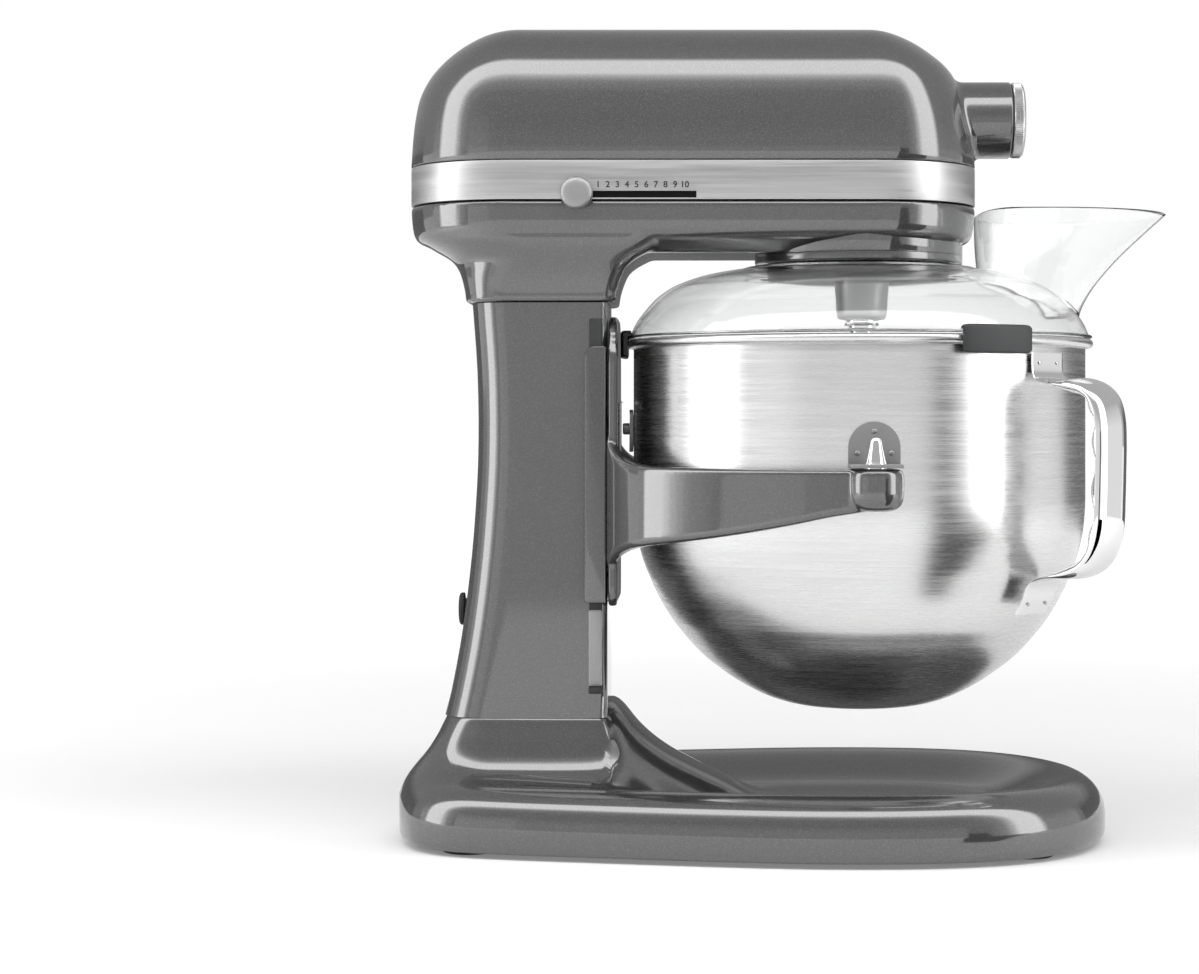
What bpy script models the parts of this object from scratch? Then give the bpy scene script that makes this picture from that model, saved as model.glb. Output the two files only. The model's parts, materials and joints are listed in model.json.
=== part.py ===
"""Bowl-lift stand mixer: one named closed solid per physical piece. Metres, +Z up, +X to the front."""

import math

import bmesh
import bpy
import numpy as np
from mathutils import Matrix, Vector

MM = 0.001
GAP = 0.3  # clearance between touching pieces, mm

# Overall layout, mm
BASE_BACK = -199.7
BASE_FRONT = 166.2
BASE_CREST = 34.0
BOWL_X = 39.1  # bowl and planetary axis
HEAD_TOP = 419.0
BAND_LOW = 327.5
BAND_HIGH = 347.3
HEAD_HALF = 57.0
HEAD_END_BACK = -137.4  # where the straight sides of the head meet its round ends
HEAD_END_FRONT = 42.7
HEAD_BACK = -194.4
HEAD_FRONT = 99.7
COLUMN_TOP = 276.2
COLUMN_FRONT = -91.0
COLUMN_HALF = 44.0
GLAND_Z = 118.0
WALL = 3.5
HUB_Z = 373.2
MOTOR_Z = 368.0
WORM_WHEEL_Y = 24.0
SHAFT_RADIUS = 2.0  # armature shaft
SHAFT_BORE = 2.3  # bore of what sits on the armature shaft
THUMBSCREW_X = 110.0
KNOB_X = -106.0  # speed control at its lowest speed
KNOB_Z = 330.3

# Gears
RING_TEETH = 44
PINION_TEETH = 18
PLANET_MODULE = 2.0
BOSS_OFFSET = PLANET_MODULE * (RING_TEETH - PINION_TEETH) / 2.0
CENTRE_TEETH = 40
DRIVE_TEETH = 12
DRIVE_MODULE = 1.5
WORM_WHEEL_TEETH = 24
WORM_PITCH = 5.0
BEVEL_TEETH = 24
HUB_BEVEL_TEETH = 20
BEVEL_MODULE = 2.0
BEVEL_INNER = 0.74  # size of a bevel tooth at its inner end
DRIVE_CENTRES = DRIVE_MODULE * (CENTRE_TEETH + DRIVE_TEETH) / 2.0
WORM_WHEEL_X = BOWL_X - math.sqrt(DRIVE_CENTRES**2 - WORM_WHEEL_Y**2)

# Lift and bowl
PIN_Y = 130.0  # the bowl-bracket pins stand this far either side of the bowl axis
LIFT_TRAVEL = 40.0
CRANK_ANGLE = math.radians(45.0)
LIFT_SHAFT_X = -112.0
LIFT_SHAFT_Z = 186.0
LIFT_SHAFT_RADIUS = 6.0
LIFT_SHAFT_BORE = 6.3
BOWL_RADIUS = 117.5
BOWL_BOTTOM = 67.0
BOWL_WALL = 1.2
PIN_SEAT_Z = 193.0  # top face of the arm ends
CROSS_PIN_Z = 247.0
HANDLE_AZIMUTH = math.radians(-42.0)
CLIP_HALF_ANGLE = 9.4

# Modelling tolerances and shading
PRESSURE_ANGLE = math.radians(20.0)
SHARP_ANGLE = math.radians(35.0)
WELD = 1e-7  # metres
BOOLEAN_WELD = 2e-6  # metres
TURN_WELD = 2e-5  # metres
BEVEL_SEGMENTS = 2

PAINT = ((0.10, 0.10, 0.105, 1.0), 0.35, 0.5)
STEEL = ((0.62, 0.62, 0.62, 1.0), 0.3, 1.0)
CHROME = ((0.8, 0.8, 0.8, 1.0), 0.08, 1.0)
SATIN = ((0.72, 0.72, 0.72, 1.0), 0.35, 1.0)
DARK_PLASTIC = ((0.05, 0.05, 0.055, 1.0), 0.5, 0.0)
CLEAR = ((0.9, 0.92, 0.92, 0.3), 0.05, 0.0)
RUBBER = ((0.03, 0.03, 0.03, 1.0), 0.8, 0.0)
IRON = ((0.3, 0.3, 0.3, 1.0), 0.6, 1.0)
BRASS = ((0.7, 0.5, 0.2, 1.0), 0.3, 1.0)
COPPER = ((0.7, 0.35, 0.2, 1.0), 0.35, 1.0)


def clear_scene():
    for item in list(bpy.data.objects):
        bpy.data.objects.remove(item, do_unlink=True)


def new_collection(name):
    group = bpy.data.collections.new(name)
    bpy.context.scene.collection.children.link(group)
    return group


def paint(obj, look):
    colour, roughness, metallic = look
    material = bpy.data.materials.new(obj.name + "_finish")
    material.use_nodes = True
    shader = material.node_tree.nodes["Principled BSDF"]
    shader.inputs["Base Color"].default_value = colour
    shader.inputs["Roughness"].default_value = roughness
    shader.inputs["Metallic"].default_value = metallic
    obj.data.materials.clear()
    obj.data.materials.append(material)
    return obj


def make(name, verts, faces, origin=(0.0, 0.0, 0.0)):
    """A mesh object from points in mm, in world place, with its origin at the point given."""
    mesh = bpy.data.meshes.new(name)
    shift = Vector(origin)
    mesh.from_pydata([(Vector(v) - shift) * MM for v in verts], [], faces)
    bm = bmesh.new()
    bm.from_mesh(mesh)
    bmesh.ops.remove_doubles(bm, verts=bm.verts, dist=WELD)
    bmesh.ops.recalc_face_normals(bm, faces=bm.faces)
    bm.to_mesh(mesh)
    bm.free()
    obj = bpy.data.objects.new(name, mesh)
    obj.location = shift * MM
    PARTS.objects.link(obj)
    mesh.shade_smooth()
    mesh.set_sharp_from_angle(angle=SHARP_ANGLE)
    return obj


def loft(name, rings, origin=(0.0, 0.0, 0.0), closed=False):
    """Rings of equal length joined in order, capped at both ends unless the loft closes on itself."""
    count = len(rings[0])
    verts = [p for ring in rings for p in ring]
    faces = []
    last = len(rings) if closed else len(rings) - 1
    for i in range(last):
        a = i * count
        b = ((i + 1) % len(rings)) * count
        for k in range(count):
            n = (k + 1) % count
            faces.append((a + k, a + n, b + n, b + k))
    if not closed:
        faces.append(tuple(range(count)))
        faces.append(tuple(range((len(rings) - 1) * count, len(rings) * count)))
    return make(name, verts, faces, origin)


def lathe(name, profile, steps=32, at=(0.0, 0.0, 0.0), axis="Z", ring=False):
    """Revolves (radius, height) points about an axis through a point. A ring's profile is a closed loop."""
    mesh = bpy.data.meshes.new(name)
    edges = [(i, i + 1) for i in range(len(profile) - 1)]
    if ring:
        edges.append((len(profile) - 1, 0))
    mesh.from_pydata([(r * MM, 0.0, h * MM) for r, h in profile], edges, [])
    obj = bpy.data.objects.new(name, mesh)
    PARTS.objects.link(obj)
    turn = obj.modifiers.new("turn", "SCREW")
    turn.steps = steps
    turn.render_steps = steps
    turn.use_merge_vertices = True
    turn.merge_threshold = TURN_WELD
    turn.use_normal_calculate = True
    bake(obj)
    bm = bmesh.new()
    bm.from_mesh(obj.data)
    bmesh.ops.recalc_face_normals(bm, faces=bm.faces)
    turns = {
        "Z": Matrix.Identity(3),
        "X": Matrix.Rotation(math.radians(90.0), 3, "Y"),
        "Y": Matrix.Rotation(math.radians(-90.0), 3, "X"),
    }
    bmesh.ops.transform(bm, matrix=turns[axis].to_4x4(), verts=bm.verts)
    bm.to_mesh(obj.data)
    bm.free()
    obj.location = Vector(at) * MM
    obj.data.shade_smooth()
    obj.data.set_sharp_from_angle(angle=SHARP_ANGLE)
    return obj


def bake(obj):
    """Replaces the object's mesh with its evaluated mesh and drops its modifiers."""
    bpy.context.view_layer.update()
    graph = bpy.context.evaluated_depsgraph_get()
    mesh = bpy.data.meshes.new_from_object(obj.evaluated_get(graph))
    obj.modifiers.clear()
    obj.data = mesh


def combine(target, tool, operation="DIFFERENCE"):
    """A Boolean with a tool that is used once."""
    step = target.modifiers.new(operation.lower(), "BOOLEAN")
    step.operation = operation
    step.solver = "EXACT"
    step.object = tool
    bake(target)
    bpy.data.objects.remove(tool, do_unlink=True)
    bm = bmesh.new()
    bm.from_mesh(target.data)
    bmesh.ops.remove_doubles(bm, verts=bm.verts, dist=BOOLEAN_WELD)
    bmesh.ops.dissolve_degenerate(bm, edges=bm.edges, dist=BOOLEAN_WELD)
    bm.to_mesh(target.data)
    bm.free()
    target.data.shade_smooth()
    target.data.set_sharp_from_angle(angle=SHARP_ANGLE)
    return target


def box(name, low, high, bevel=0.0):
    mesh = bpy.data.meshes.new(name)
    bm = bmesh.new()
    bmesh.ops.create_cube(bm, size=1.0)
    size = Vector(high) - Vector(low)
    for v in bm.verts:
        v.co = Vector((v.co.x * size.x, v.co.y * size.y, v.co.z * size.z)) * MM
    if bevel:
        bmesh.ops.bevel(bm, geom=bm.edges, offset=bevel * MM, segments=BEVEL_SEGMENTS, profile=0.5,
                        affect="EDGES")
    bm.to_mesh(mesh)
    bm.free()
    obj = bpy.data.objects.new(name, mesh)
    obj.location = (Vector(low) + Vector(high)) / 2.0 * MM
    PARTS.objects.link(obj)
    return obj


def rod(name, radius, start, end, axis="Z", at=(0.0, 0.0, 0.0), steps=16, chamfer=0.0):
    c = chamfer
    profile = [(0.0, end), (radius - c, end), (radius, end - c), (radius, start + c), (radius - c, start),
               (0.0, start)]
    if not c:
        profile = [(0.0, end), (radius, end), (radius, start), (0.0, start)]
    return lathe(name, profile, steps, at, axis)


def tube(name, inner, outer, start, end, axis="Z", at=(0.0, 0.0, 0.0), steps=24):
    profile = [(outer, end), (outer, start), (inner, start), (inner, end)]
    return lathe(name, profile, steps, at, axis, ring=True)


def prism(name, outline, low, high, holes=(), plane="XY", origin=(0.0, 0.0, 0.0)):
    """A flat outline in mm, filled and given thickness as a 2D curve. plane names the outline's two axes."""
    curve = bpy.data.curves.new(name, "CURVE")
    curve.dimensions = "2D"
    curve.fill_mode = "BOTH"
    curve.extrude = (high - low) / 2.0 * MM
    for loop in (outline, *holes):
        spline = curve.splines.new("POLY")
        spline.points.add(len(loop) - 1)
        for point, (u, v) in zip(spline.points, loop):
            point.co = (u * MM, v * MM, 0.0, 1.0)
        spline.use_cyclic_u = True
    holder = bpy.data.objects.new(name + "_outline", curve)
    PARTS.objects.link(holder)
    bpy.context.view_layer.update()
    graph = bpy.context.evaluated_depsgraph_get()
    mesh = bpy.data.meshes.new_from_object(holder.evaluated_get(graph))
    bpy.data.objects.remove(holder, do_unlink=True)
    middle = (high + low) / 2.0 * MM
    bm = bmesh.new()
    bm.from_mesh(mesh)
    bmesh.ops.remove_doubles(bm, verts=bm.verts, dist=WELD)
    shift = Vector(origin) * MM
    for v in bm.verts:
        u, w, t = v.co.x, v.co.y, v.co.z + middle
        place = {"XY": (u, w, t), "XZ": (u, t, w), "YZ": (t, u, w)}[plane]
        v.co = Vector(place) - shift
    bmesh.ops.recalc_face_normals(bm, faces=bm.faces)
    bm.to_mesh(mesh)
    bm.free()
    obj = bpy.data.objects.new(name, mesh)
    obj.location = shift
    PARTS.objects.link(obj)
    return obj


def circle(radius, count, cx=0.0, cy=0.0, start=0.0):
    return [
        (cx + radius * math.cos(start + 2 * math.pi * i / count),
         cy + radius * math.sin(start + 2 * math.pi * i / count))
        for i in range(count)
    ]


def sector(name, profile, low_deg, high_deg, steps, centre=(BOWL_X, 0.0)):
    """A closed (radius, height) loop swept through part of a turn about a vertical axis."""
    rings = []
    for i in range(steps + 1):
        a = math.radians(low_deg + (high_deg - low_deg) * i / steps)
        rings.append([(centre[0] + r * math.cos(a), centre[1] + r * math.sin(a), h) for r, h in profile])
    return loft(name, rings)


def rounded_rect(x0, x1, half, radius, z, corner=3, front=0.0):
    """A rectangle from x0 to x1 and -half to half as a ring, with round corners of another radius in front."""
    r = min(radius, half * 0.98, (x1 - x0) * 0.49)
    f = front or r
    points = []
    for cx, cy, a0, r in ((x1 - f, half - f, 0, f), (x0 + r, half - r, 90, r), (x0 + r, r - half, 180, r),
                          (x1 - f, f - half, 270, f)):
        for i in range(corner + 1):
            a = math.radians(a0 + 90.0 * i / corner)
            points.append((cx + r * math.cos(a), cy + r * math.sin(a), z))
    return points


def stadium(back, front, half, z, arc=6):
    """A head outline: straight sides between the two end lines, and an elliptical end at each."""
    end_back = max(HEAD_END_BACK, back + 0.5)
    end_front = min(HEAD_END_FRONT, front - 0.5)
    points = []
    for i in range(2 * arc + 1):
        a = math.radians(-90.0 + 180.0 * i / (2 * arc))
        points.append((end_front + (front - end_front) * math.cos(a), half * math.sin(a), z))
    for i in range(2 * arc + 1):
        a = math.radians(90.0 + 180.0 * i / (2 * arc))
        points.append((end_back - (end_back - back) * math.cos(a - math.pi), half * math.sin(a), z))
    return points


def gear_outline(teeth, module, addendum, dedendum, width, turn=0.0):
    """Involute tooth outline with two points a flank. width scales the tooth's thickness at the pitch circle."""
    pitch = module * teeth / 2.0
    base = pitch * math.cos(PRESSURE_ANGLE)
    root = pitch - dedendum
    tip = pitch + addendum
    half = math.pi * width / (2.0 * teeth)
    roll = math.tan(PRESSURE_ANGLE) - PRESSURE_ANGLE
    flank = []
    for r in (max(root, base * 1.001), tip):
        a = math.acos(min(1.0, base / r))
        flank.append((r, half + roll - (math.tan(a) - a)))
    if root < base:
        flank[0] = (root, flank[0][1])
    points = []
    for k in range(teeth):
        centre = turn + 2.0 * math.pi * k / teeth
        for r, a in flank:
            points.append((r * math.cos(centre - a), r * math.sin(centre - a)))
        for r, a in reversed(flank):
            points.append((r * math.cos(centre + a), r * math.sin(centre + a)))
    return points


def outer_gear(name, teeth, module, low, high, at, turn=0.0, bore=0.0, width=0.86):
    outline = gear_outline(teeth, module, 0.85 * module, 1.15 * module, width, turn)
    outline = [(x + at[0], y + at[1]) for x, y in outline]
    holes = [circle(bore, 16, at[0], at[1])] if bore else []
    return prism(name, outline, low, high, holes, origin=(at[0], at[1], 0.0))


# --------------------------------------------------------------------------- stand

BASE_PLAN = [
    (BASE_FRONT, 0.0), (163.5, 30.0), (154.5, 58.0), (139.0, 82.0), (117.0, 100.5), (90.0, 112.0), (60.0, 117.5),
    (30.0, 118.5), (0.0, 116.5), (-35.0, 111.0), (-70.0, 104.0), (-105.0, 96.5), (-140.0, 88.5), (-168.0, 79.0),
    (-186.0, 64.0), (-195.5, 42.0), (-199.0, 20.0), (BASE_BACK, 0.0),
]
DISH_PLAN = [
    (150.0, 0.0), (146.0, 30.0), (135.0, 56.0), (116.0, 77.0), (90.0, 92.0), (60.0, 99.5), (30.0, 100.5),
    (0.0, 97.0), (-25.0, 88.0), (-42.0, 70.0), (-50.0, 45.0), (-53.0, 0.0),
]
BASE_LEVELS = [  # inset, height
    (2.4, 3.2), (0.4, 6.0), (0.0, 10.0), (0.0, 15.0), (1.5, 22.0), (5.0, 28.0), (9.5, 31.8), (15.0, 33.6),
    (21.0, BASE_CREST),
]
DISH_LEVELS = [(30.0, 19.0), (14.0, 20.0), (5.0, 23.5), (0.5, 29.0), (-4.5, 35.0)]
HOLLOW_LEVELS = [(5.0, 2.0), (5.0, 12.0), (9.0, 15.5)]
COVER_INSET = 5.6
COLUMN = [  # height, back edge, front edge, half-width, corner radius
    (10.0, -196.5, -30.0, 78.0, 40.0), (24.0, -197.0, -34.0, 77.5, 38.0), (34.0, -193.0, -44.0, 71.0, 34.0),
    (40.0, -188.5, -52.0, 64.5, 31.0), (46.0, -184.5, -58.0, 58.5, 28.0), (52.0, -181.0, -70.0, 53.5, 26.0),
    (58.0, -178.2, -76.0, 49.5, 22.0), (64.0, -175.8, -80.5, 46.5, 18.0), (70.0, -174.0, -84.0, 44.6, 16.0),
    (76.0, -172.2, COLUMN_FRONT, COLUMN_HALF, 15.0), (92.0, -169.0, COLUMN_FRONT, COLUMN_HALF, 15.0),
    (108.0, -166.2, COLUMN_FRONT, COLUMN_HALF, 15.0), (132.0, -163.0, COLUMN_FRONT, COLUMN_HALF, 15.0),
    (160.0, -160.2, COLUMN_FRONT, COLUMN_HALF, 15.0), (200.0, -158.0, COLUMN_FRONT, COLUMN_HALF, 15.0),
    (240.0, -158.4, COLUMN_FRONT, COLUMN_HALF, 15.0), (COLUMN_TOP, -160.9, COLUMN_FRONT, COLUMN_HALF, 15.0),
]
COLUMN_LEAST_RADIUS = 3.0


def mirrored(points):
    """A closed symmetric outline from its half, front point first and back point last."""
    return points + [(x, -y) for x, y in reversed(points[1:-1])]


def inset_plan(points, amount):
    """Moves each point of a closed outline inwards along its local normal."""
    out = []
    n = len(points)
    for i in range(n):
        a = np.array(points[i - 1])
        b = np.array(points[(i + 1) % n])
        d = (b - a) / np.linalg.norm(b - a)
        out.append((points[i][0] - d[1] * amount, points[i][1] + d[0] * amount))
    return out


def ring_at(outline, z):
    return [(x, y, z) for x, y in outline]


def base_solid(name, levels):
    plan = mirrored(BASE_PLAN)
    return loft(name, [ring_at(inset_plan(plan, inset), z) for inset, z in levels])


def column_rings(grow, low, high):
    """Sections of the column and its flare between two heights, grown by an amount."""
    rings = []
    for z, back, front, half, radius in COLUMN:
        if low <= z <= high:
            corner = max(COLUMN_LEAST_RADIUS, radius + grow)
            rings.append(rounded_rect(back - grow, front + grow, half + grow, corner, z))
    return rings


def lifted(rings, z):
    return [(x, y, z) for x, y, _ in rings]


def build_pedestal():
    body = base_solid("pedestal_casting", BASE_LEVELS)
    combine(body, loft("flare", column_rings(0.0, COLUMN[0][0], COLUMN_TOP)), "UNION")
    # dished recess under the bowl, stopped short of the ramp to the column
    plan = mirrored(DISH_PLAN)
    combine(body, loft("dish", [ring_at(inset_plan(plan, i), z) for i, z in DISH_LEVELS]))
    combine(body, base_solid("hollow", HOLLOW_LEVELS))
    inner = column_rings(-WALL, 80.0, COLUMN_TOP)
    inner = [lifted(inner[0], 14.0)] + inner[:-1] + [lifted(inner[-1], COLUMN_TOP + 2.0)]
    combine(body, loft("bore", inner))
    combine(body, box("slot", (COLUMN_FRONT - 8.0, -9.0, 116.0), (COLUMN_FRONT + 5.0, 9.0, 236.0)))
    combine(body, rod("shaft_hole", LIFT_SHAFT_BORE, 30.0, 50.0, "Y", (LIFT_SHAFT_X, 0.0, LIFT_SHAFT_Z)))
    combine(body, rod("gland_hole", 6.0, -12.0, 12.0, "X", (-166.0, 0.0, GLAND_Z)))
    paint(body, PAINT)

    plan = inset_plan(mirrored(BASE_PLAN), COVER_INSET)
    cover = prism("base_bottom_cover", plan, 3.2, 5.2, [circle(4.4, 10, x, y) for x, y in FEET])
    paint(cover, DARK_PLASTIC)
    for name, (x, y) in zip(FOOT_NAMES, FEET):
        profile = [(0.0, 9.0), (4.0, 9.0), (4.0, 3.0), (13.0, 3.0), (14.0, 2.0), (12.5, 0.0), (0.0, 0.0)]
        paint(lathe(name, profile, 16, (x, y, 0.0)), RUBBER)
    profile = [(2.6, -2.0), (2.6, 9.0), (5.6, 9.0), (5.6, 1.0), (8.5, 1.0), (8.5, -2.0)]
    gland = lathe("cord_gland", profile, 20, (-167.6, 0.0, GLAND_Z), "X", ring=True)
    paint(gland, RUBBER)


FEET = [(118.0, -72.0), (118.0, 72.0), (-160.0, -58.0), (-160.0, 58.0)]
FOOT_NAMES = ["foot_front_left", "foot_front_right", "foot_rear_left", "foot_rear_right"]


def build_rails():
    for side, name in ((-1, "slide_rail_left"), (1, "slide_rail_right")):
        low, high = sorted((side * (COLUMN_HALF + GAP), side * (COLUMN_HALF + 2.6)))
        rail = box(name, (-100.2, low, 78.0), (-93.6, high, 268.0))
        low, high = sorted((side * (COLUMN_HALF + 2.0), side * 50.2))
        combine(rail, box("stop", (-100.2, low, 80.0), (-93.6, high, 83.0)), "UNION")
        paint(rail, SATIN)


# --------------------------------------------------------------------------- head

UPPER = [  # height, back tip, front tip, half-width
    (BAND_HIGH + GAP, HEAD_BACK, HEAD_FRONT, HEAD_HALF), (363.0, -193.4, 98.2, 56.7), (374.0, -192.2, 96.0, 55.8),
    (384.0, -189.7, 93.4, 54.2), (393.0, -185.2, 90.3, 51.5), (400.0, -179.6, 84.6, 48.0),
    (406.5, -172.4, 76.8, 43.2), (411.5, -165.0, 69.2, 37.6), (415.4, -157.2, 61.0, 30.5),
    (417.8, -149.0, 54.0, 21.5), (HEAD_TOP, -139.0, 44.0, 9.0),
]
TRAY = [(302.0, 14.0), (302.6, 9.5), (304.4, 5.6), (307.5, 3.0), (311.5, 1.5), (318.0, 0.5), (327.2, 0.0)]
TRAY_INSIDE = [(305.5, 15.0), (307.0, 9.0), (311.5, 5.5), (327.2, 5.6), (348.5, 5.6)]
LIP_INSET = 2.9  # the lip stands inside the trim band
NECK = [  # height, back edge, front edge, half-width, rear and front corner radius
    (276.5, -164.1, -86.6, 45.2, 17.0, 12.0), (284.0, -165.0, -85.6, 46.0, 20.0, 12.0),
    (290.0, -166.7, -83.6, 47.3, 26.0, 14.0), (295.0, -169.2, -80.9, 49.0, 34.0, 16.0),
    (300.4, -174.6, -73.0, 50.5, 44.0, 18.0), (303.5, -180.0, -66.7, 50.8, 49.0, 20.0),
    (308.0, -186.0, -60.0, 51.0, 50.0, 20.0), (320.0, -186.0, -58.0, 51.0, 50.0, 20.0),
]
BAND_THICKNESS = 2.6
HUB_SEAT = 0.3  # the hub stands off the head's surface by this much


def inset_stadium(inset, z, arc=6):
    return stadium(HEAD_BACK + inset, HEAD_FRONT - inset, HEAD_HALF - inset, z, arc)


def build_head():
    outer = [stadium(b, f, h, z) for z, b, f, h in UPPER]
    inner = [stadium(b + WALL, f - WALL, h - WALL, z - WALL * i / (len(UPPER) - 1))
             for i, (z, b, f, h) in enumerate(UPPER)]
    cover = loft("head_upper_cover", list(reversed(inner)) + outer)
    combine(cover, rod("hub_opening", 16.8, 80.0, 110.0, "X", (0.0, 0.0, HUB_Z), 24))
    paint(cover, PAINT)

    rings = [inset_stadium(inset, z) for z, inset in TRAY]
    lip = [inset_stadium(LIP_INSET, z) for z in (BAND_LOW - GAP, BAND_HIGH - GAP)]
    body = loft("head_lower_housing", rings + lip)
    rings = [rounded_rect(b, f, h, rear, z, 3, front) for z, b, f, h, rear, front in NECK]
    combine(body, loft("neck", rings), "UNION")
    combine(body, loft("inside", [inset_stadium(inset, z) for z, inset in TRAY_INSIDE]))
    hole = [rounded_rect(-157.0, -95.0, 39.0, 12.0, z) for z in (270.0, 309.0)]
    combine(body, loft("neck_bore", hole))
    combine(body, rod("nose_hole", 50.9, 290.0, 312.0, "Z", (BOWL_X, 0.0, 0.0), 32))
    combine(body, box("slot", (-112.0, -60.0, 328.6), (-44.5, -50.0, 332.2)))
    paint(body, PAINT)

    outer = inset_stadium(0.0, 0.0, 8)
    inner = inset_stadium(BAND_THICKNESS, 0.0, 8)
    band = loft("trim_band", [lifted(outer, BAND_LOW), lifted(outer, BAND_HIGH), lifted(inner, BAND_HIGH),
                              lifted(inner, BAND_LOW)], closed=True)
    combine(band, box("slot", (-110.0, -60.0, 328.4), (-45.9, -50.0, 331.6)))
    paint(band, SATIN)

    # the flange of the hub follows the round front of the head
    hub = [(19.2, 118.0), (19.9, 117.3), (19.9, 104.0), (21.5, 99.0), (22.8, 96.0), (24.6, 90.0), (25.0, 82.0),
           (13.5, 82.0), (13.5, 118.0)]
    hub = lathe("attachment_hub", hub, 24, (0.0, 0.0, HUB_Z), "X", ring=True)
    shape = [stadium(b - HUB_SEAT, f + HUB_SEAT, h + HUB_SEAT, z) for z, b, f, h in UPPER]
    combine(hub, loft("head_shape", shape))
    sleeve = [(16.2, 117.5), (16.2, 68.0), (11.0, 68.0), (11.0, 73.0), (13.0, 73.0), (13.0, 117.5)]
    combine(hub, lathe("sleeve", sleeve, 24, (0.0, 0.0, HUB_Z), "X", ring=True), "UNION")
    combine(hub, rod("screw_hole", 3.2, 10.0, 26.0, "Y", (THUMBSCREW_X, 0.0, HUB_Z)))
    paint(hub, PAINT)
    cap = [(0.0, 124.8), (17.6, 124.8), (19.6, 123.8), (19.6, 118.9), (19.2, 118.3), (12.6, 118.3),
           (12.6, 114.0), (0.0, 114.0)]
    cap = lathe("hub_cap", cap, 24, (0.0, 0.0, HUB_Z), "X")
    paint(cap, SATIN)
    knob = [(0.0, 33.0), (6.0, 33.0), (7.0, 32.0), (7.0, 24.0), (6.0, 23.0), (2.8, 23.0), (2.8, 14.4),
            (0.0, 14.4)]
    paint(lathe("attachment_knob", knob, 20, (THUMBSCREW_X, 0.0, HUB_Z), "Y"), DARK_PLASTIC)


def build_speed_control():
    profile = [(0.0, 67.2), (6.2, 66.8), (7.8, 65.6), (8.2, 64.0), (8.2, 58.2), (7.6, 57.4), (1.3, 57.4),
               (1.3, 50.0), (0.0, 50.0)]
    knob = lathe("speed_knob", profile, 20, (KNOB_X, 0.0, KNOB_Z), "Y")
    for v in knob.data.vertices:
        v.co.y = -v.co.y
    knob.data.flip_normals()
    paint(knob, SATIN)
    plate = box("speed_slide_plate", (-120.0, -49.6, 324.0), (-96.0, -47.4, 338.0), 0.4)
    paint(plate, DARK_PLASTIC)
    board = box("speed_control_board", (-132.0, -45.4, 318.0), (-30.0, -43.6, 344.0))
    paint(board, DARK_PLASTIC)


# --------------------------------------------------------------------------- drive

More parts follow.
